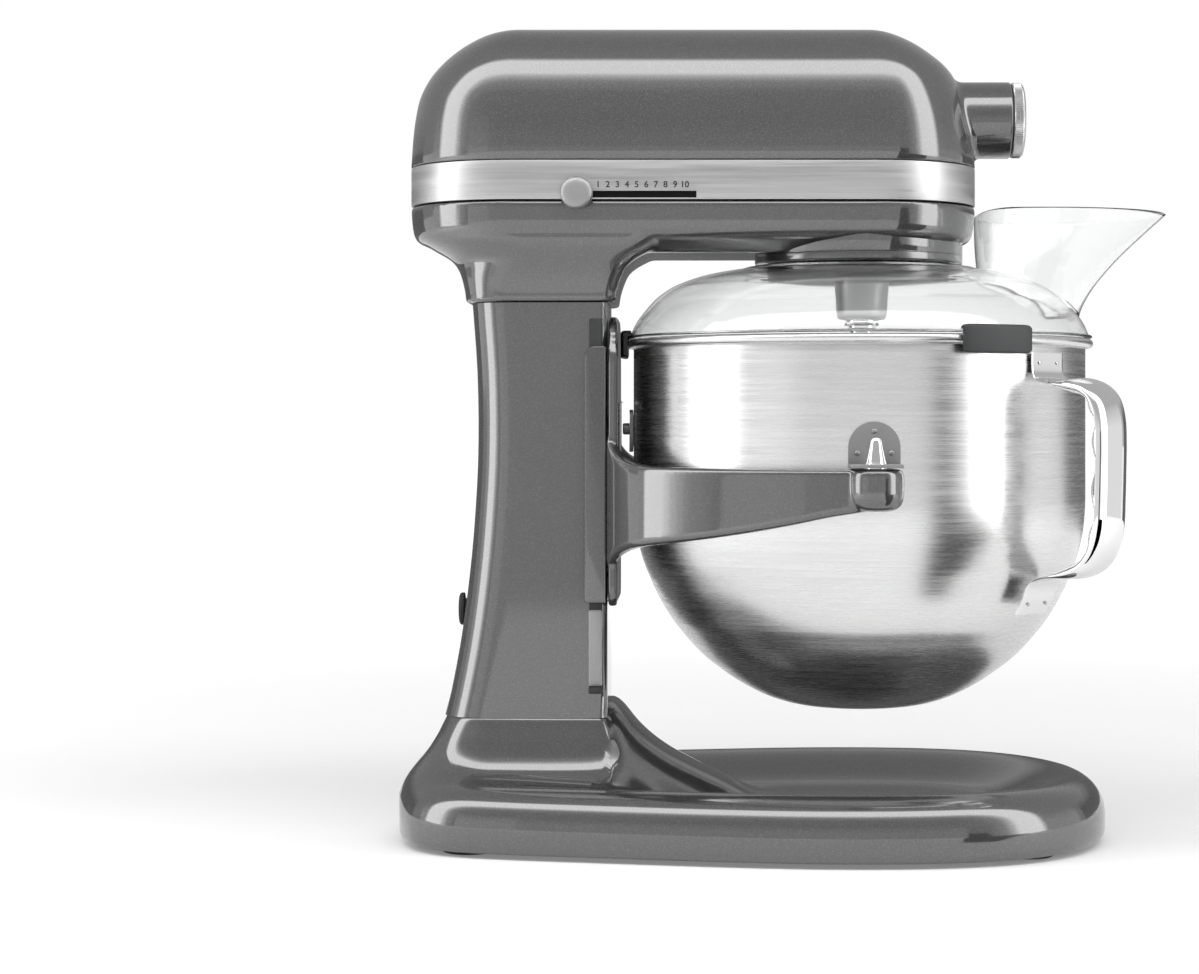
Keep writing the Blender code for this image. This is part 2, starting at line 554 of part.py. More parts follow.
def build_drive():
    at = (BOWL_X, 0.0, 0.0)
    nose = [(54.1, 301.7), (54.1, 298.4), (53.4, 297.4), (48.6, 297.4), (48.6, 299.6), (48.9, 299.6), (48.9, 316.0),
            (50.3, 316.0), (50.3, 301.7)]
    paint(lathe("planetary_nose", nose, 32, at, ring=True), PAINT)
    gap = [(x + BOWL_X, y) for x, y in gear_outline(RING_TEETH, PLANET_MODULE, 2.4, 1.3, 1.2)]
    ring = prism("ring_gear", circle(48.6, 32, BOWL_X, 0.0), 300.4, 308.4, [gap])
    paint(ring, IRON)
    hole = [circle(8.3, 20, BOWL_X, 0.0), circle(4.5, 14, WORM_WHEEL_X, WORM_WHEEL_Y)]
    plate = prism("gearcase_plate", circle(50.0, 32, BOWL_X, 0.0), 316.4, 321.0, hole)
    boss = tube("boss", 11.3, 15.0, 320.0, 331.0, at=at)
    combine(plate, boss, "UNION")
    paint(plate, IRON)
    for name, low in (("planetary_bearing_lower", 321.3), ("planetary_bearing_upper", 326.3)):
        paint(tube(name, 7.35, 11.0, low, low + 4.4, at=at), STEEL)

    disc = [(0.0, 296.8), (47.2, 296.8), (47.9, 296.2), (47.9, 294.0), (46.4, 292.0), (43.0, 291.0), (0.0, 291.0)]
    disc = lathe("planetary_disc", disc, 32, at)
    boss_at = (BOWL_X, -BOSS_OFFSET, 0.0)
    boss = [(0.0, 294.0), (14.6, 294.0), (14.6, 291.0), (13.4, 287.0), (13.0, 280.0), (12.6, 270.4),
            (11.6, 268.4), (0.0, 268.4)]
    combine(disc, lathe("boss", boss, 28, boss_at), "UNION")
    combine(disc, rod("bore", 6.7, 260.0, 300.0, "Z", boss_at, 24))
    paint(disc, SATIN)
    shaft = [(0.0, 349.5), (6.0, 349.5), (7.0, 348.5), (7.0, 311.0), (5.7, 309.6), (5.7, 297.1), (0.0, 297.1)]
    paint(lathe("planetary_shaft", shaft, 24, at), STEEL)
    centre = outer_gear("centre_gear", CENTRE_TEETH, DRIVE_MODULE, 335.0, 342.0, (BOWL_X, 0.0), 0.0, 7.3)
    paint(centre, IRON)

    shaft = [(0.0, 309.4), (5.6, 309.4), (6.35, 308.6), (6.35, 268.1), (8.6, 268.1), (9.0, 267.4), (9.0, 264.8),
             (6.35, 264.6), (6.35, 229.4), (5.4, 228.0), (0.0, 228.0)]
    shaft = lathe("beater_shaft", shaft, 24, boss_at)
    combine(shaft, rod("pin_hole", 1.8, -9.0, 9.0, "X", (BOWL_X, -BOSS_OFFSET, CROSS_PIN_Z), 12))
    paint(shaft, CHROME)
    pin = rod("beater_shaft_pin", 1.6, -10.6, 10.6, "X", (BOWL_X, -BOSS_OFFSET, CROSS_PIN_Z), 12, 0.4)
    paint(pin, CHROME)
    mesh_turn = -math.pi / 2.0
    ring_turn = 2.0 * math.pi / RING_TEETH
    offset = mesh_turn % ring_turn
    if offset > ring_turn / 2.0:
        offset -= ring_turn
    turn = mesh_turn - offset * RING_TEETH / PINION_TEETH
    pinion = outer_gear("planet_pinion", PINION_TEETH, PLANET_MODULE, 300.8, 308.0, (BOWL_X, -BOSS_OFFSET), turn,
                        6.65, 0.84)
    paint(pinion, IRON)

    # second-stage pinion and worm wheel on one vertical shaft
    wx, wy = WORM_WHEEL_X, WORM_WHEEL_Y
    toward = math.atan2(wy, wx - BOWL_X)
    step = 2.0 * math.pi / CENTRE_TEETH
    slip = toward % step
    turn = toward + math.pi + math.pi / DRIVE_TEETH + slip * CENTRE_TEETH / DRIVE_TEETH
    pinion = outer_gear("drive_pinion", DRIVE_TEETH, DRIVE_MODULE, 334.0, 343.0, (wx, wy), turn, 4.3, 0.82)
    paint(pinion, IRON)
    paint(rod("worm_wheel_shaft", 4.0, 316.6, 376.0, "Z", (wx, wy, 0.0), 16, 0.5), STEEL)
    pitch = WORM_PITCH * WORM_WHEEL_TEETH / (2.0 * math.pi)
    wheel = [(x + wx, y + wy) for x, y in wheel_outline(pitch)]
    wheel = prism("worm_wheel", wheel, MOTOR_Z - 3.0, MOTOR_Z + 3.0, [circle(4.3, 16, wx, wy)],
                  origin=(wx, wy, 0.0))
    paint(wheel, BRASS)
    build_motor(pitch)
    build_bevels()


def wheel_outline(pitch):
    """Straight-sided worm-wheel teeth: the worm's thread is a rack, so a flank is a plain slope."""
    points = []
    step = 2.0 * math.pi / WORM_WHEEL_TEETH
    for k in range(WORM_WHEEL_TEETH):
        # a tooth space faces the worm's middle thread
        a = -math.pi / 2.0 + step * (k + 0.5)
        for r, part in ((pitch - 1.7, -0.25), (pitch + 1.0, -0.13), (pitch + 1.0, 0.13), (pitch - 1.7, 0.25)):
            points.append((r * math.cos(a + part * step), r * math.sin(a + part * step)))
    return points


def build_motor(pitch):
    """Armature shaft with its worm, laminated core, commutator and fan, all along X."""
    worm_r = WORM_WHEEL_Y - pitch
    around = 8
    turns = 6
    rows = []
    start = -turns // 2 * around
    for i in range(turns * around + 1):
        x = WORM_WHEEL_X + (i + start) * WORM_PITCH / around
        ring = []
        for k in range(around):
            wave = (i - k + start) % around
            crest = wave in (0, 1, around - 1) and 0 < i < turns * around
            r = worm_r + (1.0 if crest else -1.6)
            a = 2.0 * math.pi * k / around
            ring.append((x, r * math.cos(a), MOTOR_Z + r * math.sin(a)))
        rows.append(ring)
    worm = loft("armature_worm", rows, (0.0, 0.0, MOTOR_Z))
    combine(worm, rod("bore", 2.2, -30.0, 40.0, "X", (0.0, 0.0, MOTOR_Z), 12))
    paint(worm, STEEL)
    at = (0.0, 0.0, MOTOR_Z)
    paint(rod("armature_shaft", SHAFT_RADIUS, -166.0, 26.0, "X", at, 14, 0.4), STEEL)
    core = gear_outline(10, 5.6, 0.6, 3.4, 1.25)
    core = prism("armature_core", [(a, b + MOTOR_Z) for a, b in core], -98.0, -54.0,
                 [circle(SHAFT_BORE, 12, 0.0, MOTOR_Z)], "YZ", (0.0, 0.0, MOTOR_Z))
    paint(core, IRON)
    paint(tube("commutator", SHAFT_BORE, 11.0, -130.0, -112.0, "X", at, 20), COPPER)
    blades = 10
    fan = []
    for i in range(blades):
        for lead, r in ((0.0, 9.0), (0.05, 27.0), (0.38, 27.0), (0.30, 9.0)):
            a = 2.0 * math.pi * i / blades + lead
            fan.append((r * math.cos(a), MOTOR_Z + r * math.sin(a)))
    fan = prism("cooling_fan", fan, -44.0, -36.0, [circle(SHAFT_BORE, 12, 0.0, MOTOR_Z)], "YZ", (0.0, 0.0, MOTOR_Z))
    paint(fan, DARK_PLASTIC)
    paint(tube("motor_stator", 29.6, 41.0, -102.0, -50.0, "X", at, 28), IRON)
    for name, low, high in (("motor_rear_bracket", -158.0, -152.0), ("motor_front_bracket", -28.0, -22.0)):
        outline = [(-38.0, 349.0), (38.0, 349.0), (38.0, 386.0), (24.0, 400.0), (-24.0, 400.0), (-38.0, 386.0)]
        bracket = prism(name, outline, low, high, [circle(SHAFT_BORE + 0.05, 12, 0.0, MOTOR_Z)], "YZ")
        paint(bracket, IRON)


def bevel_rings(outline, pitch, mate, place):
    """The two toothed rings of a straight bevel gear, at full size and nearer the apex."""
    slant = math.hypot(pitch, mate)
    rings = []
    for scale in (1.0, BEVEL_INNER):
        ring = []
        for u, v in outline:
            r = math.hypot(u, v)
            reach = (pitch + (r - pitch) * mate / slant) * scale
            depth = (mate - (r - pitch) * pitch / slant) * scale
            ring.append(place(u / r * reach, v / r * reach, depth))
        rings.append(ring)
    return rings


def bevel_gear(name, teeth, mate_teeth, turn, place, bore_tool):
    outline = gear_outline(teeth, BEVEL_MODULE, 1.5, 2.1, 0.74, turn)
    pitch = BEVEL_MODULE * teeth / 2.0
    mate = BEVEL_MODULE * mate_teeth / 2.0
    hub = pitch - 4.0
    core = pitch * BEVEL_INNER - 4.5
    unit = [(u / math.hypot(u, v), v / math.hypot(u, v)) for u, v in outline]
    back = [place(hub * u, hub * v, mate + 3.4) for u, v in unit]
    face = [place(core * u, core * v, mate * BEVEL_INNER + 1.6) for u, v in unit]
    gear = loft(name, [back] + bevel_rings(outline, pitch, mate, place) + [face])
    return combine(gear, bore_tool)


def build_bevels():
    """Straight bevel pair with a common apex on the planetary axis at the hub's height."""
    bore = rod("bore", 7.3, 320.0, 380.0, "Z", (BOWL_X, 0.0, 0.0), 20)
    gear = bevel_gear("centre_bevel_gear", BEVEL_TEETH, HUB_BEVEL_TEETH, 0.0,
                      lambda u, v, d: (BOWL_X + u, v, HUB_Z - d), bore)
    paint(gear, IRON)
    bore = rod("bore", 5.3, 40.0, 80.0, "X", (0.0, 0.0, HUB_Z), 16)
    gear = bevel_gear("hub_bevel_gear", HUB_BEVEL_TEETH, BEVEL_TEETH, math.pi / HUB_BEVEL_TEETH - math.pi / 2.0,
                      lambda u, v, d: (BOWL_X + d, u, HUB_Z + v), bore)
    paint(gear, IRON)
    socket = [(0.0, 98.0), (10.4, 98.0), (10.4, 76.0), (5.0, 76.0), (5.0, 60.0), (0.0, 60.0)]
    socket = lathe("hub_drive_socket", socket, 24, (0.0, 0.0, HUB_Z), "X")
    combine(socket, box("square", (80.0, -4.8, HUB_Z - 4.8), (100.0, 4.8, HUB_Z + 4.8)))
    paint(socket, STEEL)


# --------------------------------------------------------------------------- lift and bowl

ARM = [  # x, y, lower edge, upper edge, thickness
    (-90.5, 46.0, 141.0, 210.0, 4.0), (-84.5, 57.0, 148.5, 199.5, 8.0), (-78.0, 67.0, 152.0, 195.6, 9.0),
    (-60.0, 87.4, 155.6, 193.4, 9.0), (-30.0, 107.2, 160.2, PIN_SEAT_Z, 9.0), (0.0, 122.4, 166.0, PIN_SEAT_Z, 9.5),
    (20.0, 128.4, 170.5, PIN_SEAT_Z, 11.0), (BOWL_X, PIN_Y - 0.5, 173.0, 192.6, 12.0),
]
ARM_CHAMFER = 2.0


def arm_rings(side):
    rings = []
    for i, (x, y, low, high, thick) in enumerate(ARM):
        a = Vector(ARM[max(i - 1, 0)][:2])
        b = Vector(ARM[min(i + 1, len(ARM) - 1)][:2])
        d = (b - a).normalized()
        nx, ny = -d.y, d.x
        h = thick / 2.0
        c = ARM_CHAMFER
        ring = []
        for u, z in ((-h, low + c), (-h + c, low), (h - c, low), (h, low + c), (h, high - c), (h - c, high),
                     (-h + c, high), (-h, high - c)):
            ring.append((x + nx * u, side * (y + ny * u), z))
        rings.append(ring)
    return rings


def build_carriage():
    plate = prism("bowl_lift_yoke", [(-46.0, 122.0), (46.0, 122.0), (50.0, 128.0), (50.0, 250.0), (44.0, 262.0),
                                     (30.0, 268.0), (-30.0, 268.0), (-44.0, 262.0), (-50.0, 250.0), (-50.0, 128.0)],
                  COLUMN_FRONT + 0.5, -86.0, (), "YZ")
    for side in (-1, 1):
        low, high = sorted((side * 47.3, side * 50.3))
        combine(plate, box("flange", (-102.7, low, 124.0), (-88.0, high, 252.0)), "UNION")
        combine(plate, loft("arm", arm_rings(side)), "UNION")
        knob = [(0.0, PIN_SEAT_Z), (11.5, PIN_SEAT_Z), (13.2, 191.4), (13.5, 188.0), (13.5, 180.0), (12.4, 176.0),
                (9.0, 173.2), (0.0, 172.6)]
        combine(plate, lathe("knob", knob, 24, (BOWL_X, side * PIN_Y, 0.0)), "UNION")
    # lug that reaches back through the column's slot; the crank's pin runs in its level slot
    pin_x = LIFT_SHAFT_X - LIFT_TRAVEL / 2.0
    pin_z = LIFT_SHAFT_Z + LIFT_TRAVEL / 2.0
    level = [(pin_x + 4.5, pin_z - 4.1), (pin_x + 4.5, pin_z + 4.1), (pin_x - 12.8, pin_z + 4.1),
             (pin_x - 12.8, pin_z - 4.1)]
    lug = [(pin_x - 17.0, pin_z - 8.5), (-88.0, pin_z - 8.5), (-88.0, pin_z + 8.5), (pin_x - 17.0, pin_z + 8.5)]
    combine(plate, prism("lug", lug, -6.0, 6.0, [level], "XZ"), "UNION")
    combine(plate, bowl_blank(1.8))
    paint(plate, PAINT)
    for side, name in ((-1, "bowl_pin_left"), (1, "bowl_pin_right")):
        seat = PIN_SEAT_Z + GAP
        pin = [(0.0, 208.0), (2.0, 208.0), (2.8, 207.0), (3.4, 203.0), (5.2, 197.0), (5.2, seat), (0.0, seat)]
        paint(lathe(name, pin, 20, (BOWL_X, side * PIN_Y, 0.0)), CHROME)


BOWL = [  # radius, height
    (BOWL_RADIUS, 200.0), (BOWL_RADIUS, 175.0), (115.9, 157.0), (112.8, 144.5), (104.9, 125.6), (97.4, 113.0),
    (87.1, 100.5), (73.0, 88.0), (52.6, 75.4), (33.5, 69.0), (14.0, 67.1),
]
HANDLE = [  # distance from the bowl's axis, height, half thickness
    (119.2, 250.0, 1.3), (120.0, 240.0, 1.6), (124.0, 235.5, 2.4), (133.0, 233.6, 3.0), (143.0, 232.0, 3.4),
    (150.5, 227.0, 3.8), (154.0, 217.0, 4.0), (154.6, 204.0, 4.0), (154.4, 190.0, 4.0), (154.0, 174.0, 4.0),
    (152.4, 158.0, 3.8), (147.0, 147.5, 3.6), (138.0, 142.0, 3.2), (128.0, 139.6, 2.6), (119.0, 137.6, 1.8),
    (113.9, 131.8, 1.3), (109.2, 121.0, 1.2),
]
HANDLE_SECTION = [(-1, -0.4), (-0.8, -1), (0.8, -1), (1, -0.4), (1, 0.4), (0.8, 1), (-0.8, 1), (-1, 0.4)]
STRAP_HALF = 13.0  # at the ends that are fixed to the bowl
GRIP_HALF = 14.0
SECTION_DEPTH = 0.8


def handle_rings():
    """Sections of the strap handle, bent in the vertical plane at its azimuth."""
    out = Vector((math.cos(HANDLE_AZIMUTH), math.sin(HANDLE_AZIMUTH)))
    across = Vector((-out.y, out.x))
    rings = []
    for i, (r, z, half) in enumerate(HANDLE):
        a = Vector(HANDLE[max(i - 1, 0)][:2])
        b = Vector(HANDLE[min(i + 1, len(HANDLE) - 1)][:2])
        d = (b - a).normalized()
        wide = GRIP_HALF if 2 < i < 14 else STRAP_HALF
        ring = []
        for s, t in HANDLE_SECTION:
            depth = t * half * SECTION_DEPTH
            p = out * (r + d.y * depth) + across * s * wide
            ring.append((BOWL_X + p.x, p.y, z - d.x * depth))
        rings.append(ring)
    return rings


def build_bowl():
    outer = [(BOWL_RADIUS, 254.0), (119.4, 254.0), (121.0, 254.8), (121.5, 256.4), (120.8, 257.9), (119.4, 258.4)]
    rim_in = [(117.4, 258.0), (BOWL_RADIUS - BOWL_WALL, 256.6)]
    profile = [(0.0, BOWL_BOTTOM)] + list(reversed(BOWL)) + outer + rim_in
    inner = []
    for i, (r, z) in enumerate(BOWL):
        a = Vector(BOWL[max(i - 1, 0)])
        b = Vector(BOWL[min(i + 1, len(BOWL) - 1)])
        d = (b - a).normalized()
        inner.append((r + d.y * BOWL_WALL, z - d.x * BOWL_WALL))
    profile = profile + inner + [(0.0, BOWL_BOTTOM + BOWL_WALL)]
    paint(lathe("mixing_bowl", list(reversed(profile)), 32, (BOWL_X, 0.0, 0.0)), STEEL)

    for side, name in ((-1, "bowl_bracket_left"), (1, "bowl_bracket_right")):
        mid = 90.0 * side
        plate = [(118.0, 193.4), (120.0, 193.4), (120.0, 216.0), (118.0, 216.0)]
        body = sector(name, plate, mid - 6.2, mid + 6.2, 6)
        y0, y1 = sorted((side * 118.6, side * 142.0))
        shelf = [(BOWL_X + x, y) for x, y in ((-12.6, y0), (12.6, y0), (12.6, y1), (-12.6, y1))]
        pin_hole = circle(5.6, 20, BOWL_X, side * PIN_Y)
        combine(body, prism("shelf", shelf, 193.4, 195.6, [pin_hole]), "UNION")
        paint(body, STEEL)

    handle = loft("bowl_handle", handle_rings())
    combine(handle, bowl_blank(0.4))
    paint(handle, CHROME)

    back = [(118.1, 200.0), (120.2, 200.0), (120.2, 222.0), (118.1, 222.0)]
    bracket = sector("bowl_rear_bracket", back, 175.0, 185.0, 4)
    combine(bracket, rod("pin", 3.0, -84.2, -79.5, "X", (0.0, 0.0, 212.0), 14), "UNION")
    paint(bracket, STEEL)
    clip = [(-85.7, 194.0), (-84.7, 194.0), (-84.7, 226.0), (-85.7, 226.0)]
    clip = prism("bowl_spring_latch", clip, -9.0, 9.0, (), "XZ")
    paint(clip, STEEL)


def bowl_blank(grow):
    """The bowl's outside as a solid, a little larger, to trim what is fixed to it."""
    side = [(r + grow, z) for r, z in reversed(BOWL)]
    profile = [(0.0, BOWL_BOTTOM - grow)] + side + [(BOWL_RADIUS + grow, 270.0), (0.0, 270.0)]
    return lathe("blank", list(reversed(profile)), 32, (BOWL_X, 0.0, 0.0))


CHUTE_WALL = 1.8


def build_shield():
    at = (BOWL_X, 0.0, 0.0)
    out = [(121.0, 258.8), (121.0, 260.4), (118.6, 260.8), (114.9, 269.0), (111.0, 274.0), (106.0, 279.5),
           (99.0, 284.7), (86.6, 290.0), (74.6, 293.0), (59.0, 295.6)]
    inner = [(59.0, 294.0), (74.2, 291.4), (86.0, 288.4), (98.0, 283.2), (104.8, 278.2), (109.6, 272.8),
             (113.4, 268.2), (117.0, 258.8)]
    dome = lathe("pouring_shield", out + inner, 32, at, ring=True)
    cut = [(70.0, 262.0), (112.0, 262.0), (112.0, 300.0), (70.0, 300.0)]
    combine(dome, sector("opening", cut, -21.0, 21.0, 8))
    paint(dome, CLEAR)

    # open-topped funnel, lofted as an open band and given thickness
    levels = [(263.5, 112.0, 153.0, 34.0), (272.0, 108.0, 154.0, 36.0), (284.0, 104.0, 156.5, 39.0),
              (296.0, 101.8, 164.0, 43.0), (306.0, 100.8, 173.5, 47.0), (318.0, 100.5, 190.0, 52.0),
              (323.5, 100.4, -BASE_BACK, 55.0)]
    outer = [chute_ring(b, t, h, z) for z, b, t, h in levels]
    wall = CHUTE_WALL
    inner = [chute_ring(b + wall, t - wall, h - wall, z) for z, b, t, h in levels]
    chute = loft("pouring_chute", outer + list(reversed(inner)), closed=True)
    under = [(121.4, 250.0), (121.4, 261.1), (119.0, 261.4), (115.6, 269.5), (111.6, 274.6), (106.5, 280.0),
             (99.4, 285.4), (87.0, 290.6), (75.0, 293.5), (59.0, 296.2), (0.0, 296.2), (0.0, 250.0)]
    combine(chute, lathe("under", under, 32, at))
    paint(chute, CLEAR)

    for name, az in (("shield_clip_rear", 180.0), ("shield_clip_left", -60.0), ("shield_clip_right", 60.0)):
        loop = [(122.0, 248.6), (123.6, 248.6), (124.5, 249.6), (124.5, 261.8), (123.4, 262.9), (119.6, 262.9),
                (119.6, 261.2), (121.4, 261.2), (121.9, 259.0)]
        clip = sector(name, loop, az - CLIP_HALF_ANGLE, az + CLIP_HALF_ANGLE, 8)
        paint(clip, DARK_PLASTIC)


def chute_ring(back, tip, half, z):
    """A spoon-shaped outline: wide at the nose of the machine and round towards the spout's tip."""
    points = []
    mid = back + (tip - back) * 0.35
    for i in range(13):
        a = math.radians(-90.0 + 180.0 * i / 12)
        points.append((mid + (tip - mid) * math.cos(a), half * math.sin(a), z))
    for i in range(5):
        y = half * (0.92 - 1.84 * i / 4)
        points.append((back, y, z))
    return points


def build_lift_lever():
    at = (LIFT_SHAFT_X, 0.0, LIFT_SHAFT_Z)
    paint(rod("lift_shaft", LIFT_SHAFT_RADIUS, 8.3, 58.0, "Y", at, 20, 0.5), STEEL)
    # crank inside the column, CRANK_ANGLE above level at rest and as far below it with the bowl down
    pin_at = (LIFT_SHAFT_X - LIFT_TRAVEL / 2.0, 0.0, LIFT_SHAFT_Z + LIFT_TRAVEL / 2.0)
    crank = rod("lift_crank", 10.5, 8.3, 13.3, "Y", at, 24)
    combine(crank, rod("eye", 6.5, 8.3, 13.3, "Y", pin_at, 20), "UNION")
    nx, nz = math.sin(CRANK_ANGLE) * 6.5, math.cos(CRANK_ANGLE) * 6.5
    web = [(at[0] + nx, at[2] + nz), (pin_at[0] + nx, pin_at[2] + nz), (pin_at[0] - nx, pin_at[2] - nz),
           (at[0] - nx, at[2] - nz)]
    combine(crank, prism("web", web, 8.3, 13.3, (), "XZ"), "UNION")
    combine(crank, rod("pin", 3.0, -6.0, 9.0, "Y", pin_at, 14), "UNION")
    combine(crank, rod("bore", LIFT_SHAFT_BORE, 0.0, 20.0, "Y", at, 24))
    paint(crank, IRON)
    lever = []
    for z, half, thick, y in ((-11.0, 5.0, 3.0, 53.5), (-8.0, 9.0, 3.4, 53.5), (0.0, 11.0, 3.6, 53.5),
                              (9.0, 9.6, 3.4, 53.7), (24.0, 7.0, 3.2, 54.6), (44.0, 6.6, 3.6, 56.4),
                              (58.0, 8.4, 4.6, 57.6), (70.0, 9.4, 5.2, 58.2), (79.0, 8.0, 4.4, 58.2),
                              (83.0, 4.0, 2.4, 58.2)):
        ring = []
        for k in range(12):
            a = 2.0 * math.pi * k / 12
            ring.append((LIFT_SHAFT_X + half * math.cos(a), y + thick * math.sin(a), LIFT_SHAFT_Z + z))
        lever.append(ring)
    lever = loft("lift_lever", lever, at)
    combine(lever, rod("bore", LIFT_SHAFT_BORE, 40.0, 58.3, "Y", at, 20))
    paint(lever, PAINT)


def main():
    clear_scene()
    build_pedestal()
    build_rails()
    build_head()
    build_speed_control()
    build_drive()
    build_carriage()
    build_bowl()
    build_shield()
    build_lift_lever()


PARTS = new_collection("bowl_lift_stand_mixer")
main()
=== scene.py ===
"""Looks of a bowl-lift stand mixer: high-resolution shells, brushed and painted metal, studio light."""

import functools
import json
import math

import bmesh
import bpy
import numpy as np
from mathutils import Matrix, Vector


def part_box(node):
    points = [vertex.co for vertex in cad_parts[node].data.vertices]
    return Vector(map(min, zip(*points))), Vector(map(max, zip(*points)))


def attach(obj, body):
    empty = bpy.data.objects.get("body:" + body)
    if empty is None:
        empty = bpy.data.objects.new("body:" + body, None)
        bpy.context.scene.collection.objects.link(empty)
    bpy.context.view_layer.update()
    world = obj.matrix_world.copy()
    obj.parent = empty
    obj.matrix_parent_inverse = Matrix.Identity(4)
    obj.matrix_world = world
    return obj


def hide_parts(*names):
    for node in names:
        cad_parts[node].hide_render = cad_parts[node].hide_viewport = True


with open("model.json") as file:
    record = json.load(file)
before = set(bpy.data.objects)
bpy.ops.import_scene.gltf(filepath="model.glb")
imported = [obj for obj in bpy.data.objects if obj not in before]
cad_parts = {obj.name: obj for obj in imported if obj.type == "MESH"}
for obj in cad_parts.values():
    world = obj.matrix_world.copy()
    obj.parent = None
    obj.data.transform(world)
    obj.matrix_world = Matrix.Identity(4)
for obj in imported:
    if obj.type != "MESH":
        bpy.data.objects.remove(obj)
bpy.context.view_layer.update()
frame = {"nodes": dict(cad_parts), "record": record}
MM = 0.001

# Layout in mm, taken from the frame where a node gives it

def middle_of(node, axis):
    low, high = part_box(node)
    return (low[axis] + high[axis]) / 2.0 / MM


BOWL_X = middle_of("mixing_bowl", 0)
HEAD_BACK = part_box("trim_band")[0][0] / MM
HEAD_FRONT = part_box("trim_band")[1][0] / MM
HEAD_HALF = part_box("trim_band")[1][1] / MM
BAND_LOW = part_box("trim_band")[0][2] / MM
BAND_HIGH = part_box("trim_band")[1][2] / MM
HEAD_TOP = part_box("head_upper_cover")[1][2] / MM
END_BACK = HEAD_BACK + HEAD_HALF
END_FRONT = HEAD_FRONT - HEAD_HALF
COLUMN_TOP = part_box("pedestal_casting")[1][2] / MM
COLUMN_FRONT = -91.0
COLUMN_HALF = 44.0
HUB_Z = middle_of("hub_cap", 2)
PIN_Y = middle_of("bowl_pin_right", 1)
BOSS_Y = middle_of("beater_shaft", 1)
KNOB_X = middle_of("speed_knob", 0)
KNOB_Z = middle_of("speed_knob", 2)
HANDLE_AZIMUTH = math.radians(-42.0)


# ----------------------------------------------------------------- materials

class Nodes:
    """A small builder for one material's node tree."""

    def __init__(self, name):
        self.material = bpy.data.materials.new(name)
        self.material.use_nodes = True
        self.tree = self.material.node_tree
        self.shader = self.tree.nodes["Principled BSDF"]
        self.output = self.tree.nodes["Material Output"]

    def add(self, kind, values=None, **props):
        node = self.tree.nodes.new(kind)
        for key, value in props.items():
            setattr(node, key, value)
        for key, value in (values or {}).items():
            node.inputs[key].default_value = value
        return node

    def link(self, source, target):
        self.tree.links.new(source, target)

    def set(self, **values):
        for key, value in values.items():
            self.shader.inputs[key.replace("_", " ")].default_value = value

    def coords(self, scale=(1.0, 1.0, 1.0)):
        place = self.add("ShaderNodeTexCoord")
        move = self.add("ShaderNodeMapping")
        move.inputs["Scale"].default_value = scale
        self.link(place.outputs["Object"], move.inputs["Vector"])
        return move.outputs["Vector"]

    def noise(self, scale, detail=4.0, stretch=(1.0, 1.0, 1.0), roughness=0.5):
        node = self.add("ShaderNodeTexNoise", {"Scale": scale, "Detail": detail, "Roughness": roughness})
        self.link(self.coords(stretch), node.inputs["Vector"])
        return node.outputs["Fac"]

    def spread(self, source, low, high, out_low=0.0, out_high=1.0):
        node = self.add("ShaderNodeMapRange", {"From Min": low, "From Max": high, "To Min": out_low,
                                               "To Max": out_high})
        self.link(source, node.inputs["Value"])
        return node.outputs["Result"]

    def blend(self, factor, a, b):
        node = self.add("ShaderNodeMix", data_type="RGBA")
        self.link(factor, node.inputs["Factor"])
        node.inputs["A"].default_value = a
        node.inputs["B"].default_value = b
        return node.outputs["Result"]

    def bump(self, source, distance, strength=1.0, after=None):
        node = self.add("ShaderNodeBump", {"Distance": distance, "Strength": strength})
        self.link(source, node.inputs["Height"])
        if after:
            self.link(after, node.inputs["Normal"])
        return node.outputs["Normal"]


def grey(value, warm=0.0):
    return (value + warm, value, value - warm, 1.0)


def enamel():
    """Dark grey paint with fine metallic flake under a clear coat."""
    m = Nodes("metallic_enamel")
    flake = m.add("ShaderNodeTexVoronoi", {"Scale": 2900.0})
    m.link(m.coords(), flake.inputs["Vector"])
    tone = m.add("ShaderNodeSeparateColor")
    m.link(flake.outputs["Color"], tone.inputs["Color"])
    sparkle = m.spread(tone.outputs["Red"], 0.72, 1.0)
    cloud = m.spread(m.noise(14.0), 0.3, 0.7)
    base = m.add("ShaderNodeMix", data_type="RGBA")
    m.link(sparkle, base.inputs["Factor"])
    m.link(m.blend(cloud, grey(0.024), grey(0.028)), base.inputs["A"])
    base.inputs["B"].default_value = grey(0.066)
    m.link(base.outputs["Result"], m.shader.inputs["Base Color"])
    m.link(m.spread(tone.outputs["Green"], 0.0, 1.0, 0.42, 0.56), m.shader.inputs["Roughness"])
    m.link(m.bump(m.noise(900.0, 2.0), 0.00001, 0.25), m.shader.inputs["Normal"])
    m.set(Metallic=0.35, Coat_Weight=1.0, Coat_Roughness=0.06, Coat_IOR=2.05)
    return m.material


def brushed(name, tone, rough, stretch, scale=900.0, metallic=1.0, contrast=0.08, bump=0.000006):
    """Metal with fine lines of brushing; stretch is small along the lines."""
    m = Nodes(name)
    lines = m.noise(scale, 3.0, stretch, 0.6)
    broad = m.noise(scale / 4.0, 2.0, stretch, 0.5)
    both = m.add("ShaderNodeMath", operation="ADD")
    m.link(lines, both.inputs[0])
    m.link(broad, both.inputs[1])
    wave = m.spread(both.outputs["Value"], 0.6, 1.4)
    m.link(m.blend(wave, grey(tone * (1.0 - contrast)), grey(min(1.0, tone * (1.0 + contrast)))),
           m.shader.inputs["Base Color"])
    m.link(m.spread(wave, 0.0, 1.0, rough * 0.8, rough * 1.25), m.shader.inputs["Roughness"])
    m.link(m.bump(lines, bump, 0.8), m.shader.inputs["Normal"])
    m.set(Metallic=metallic)
    return m.material


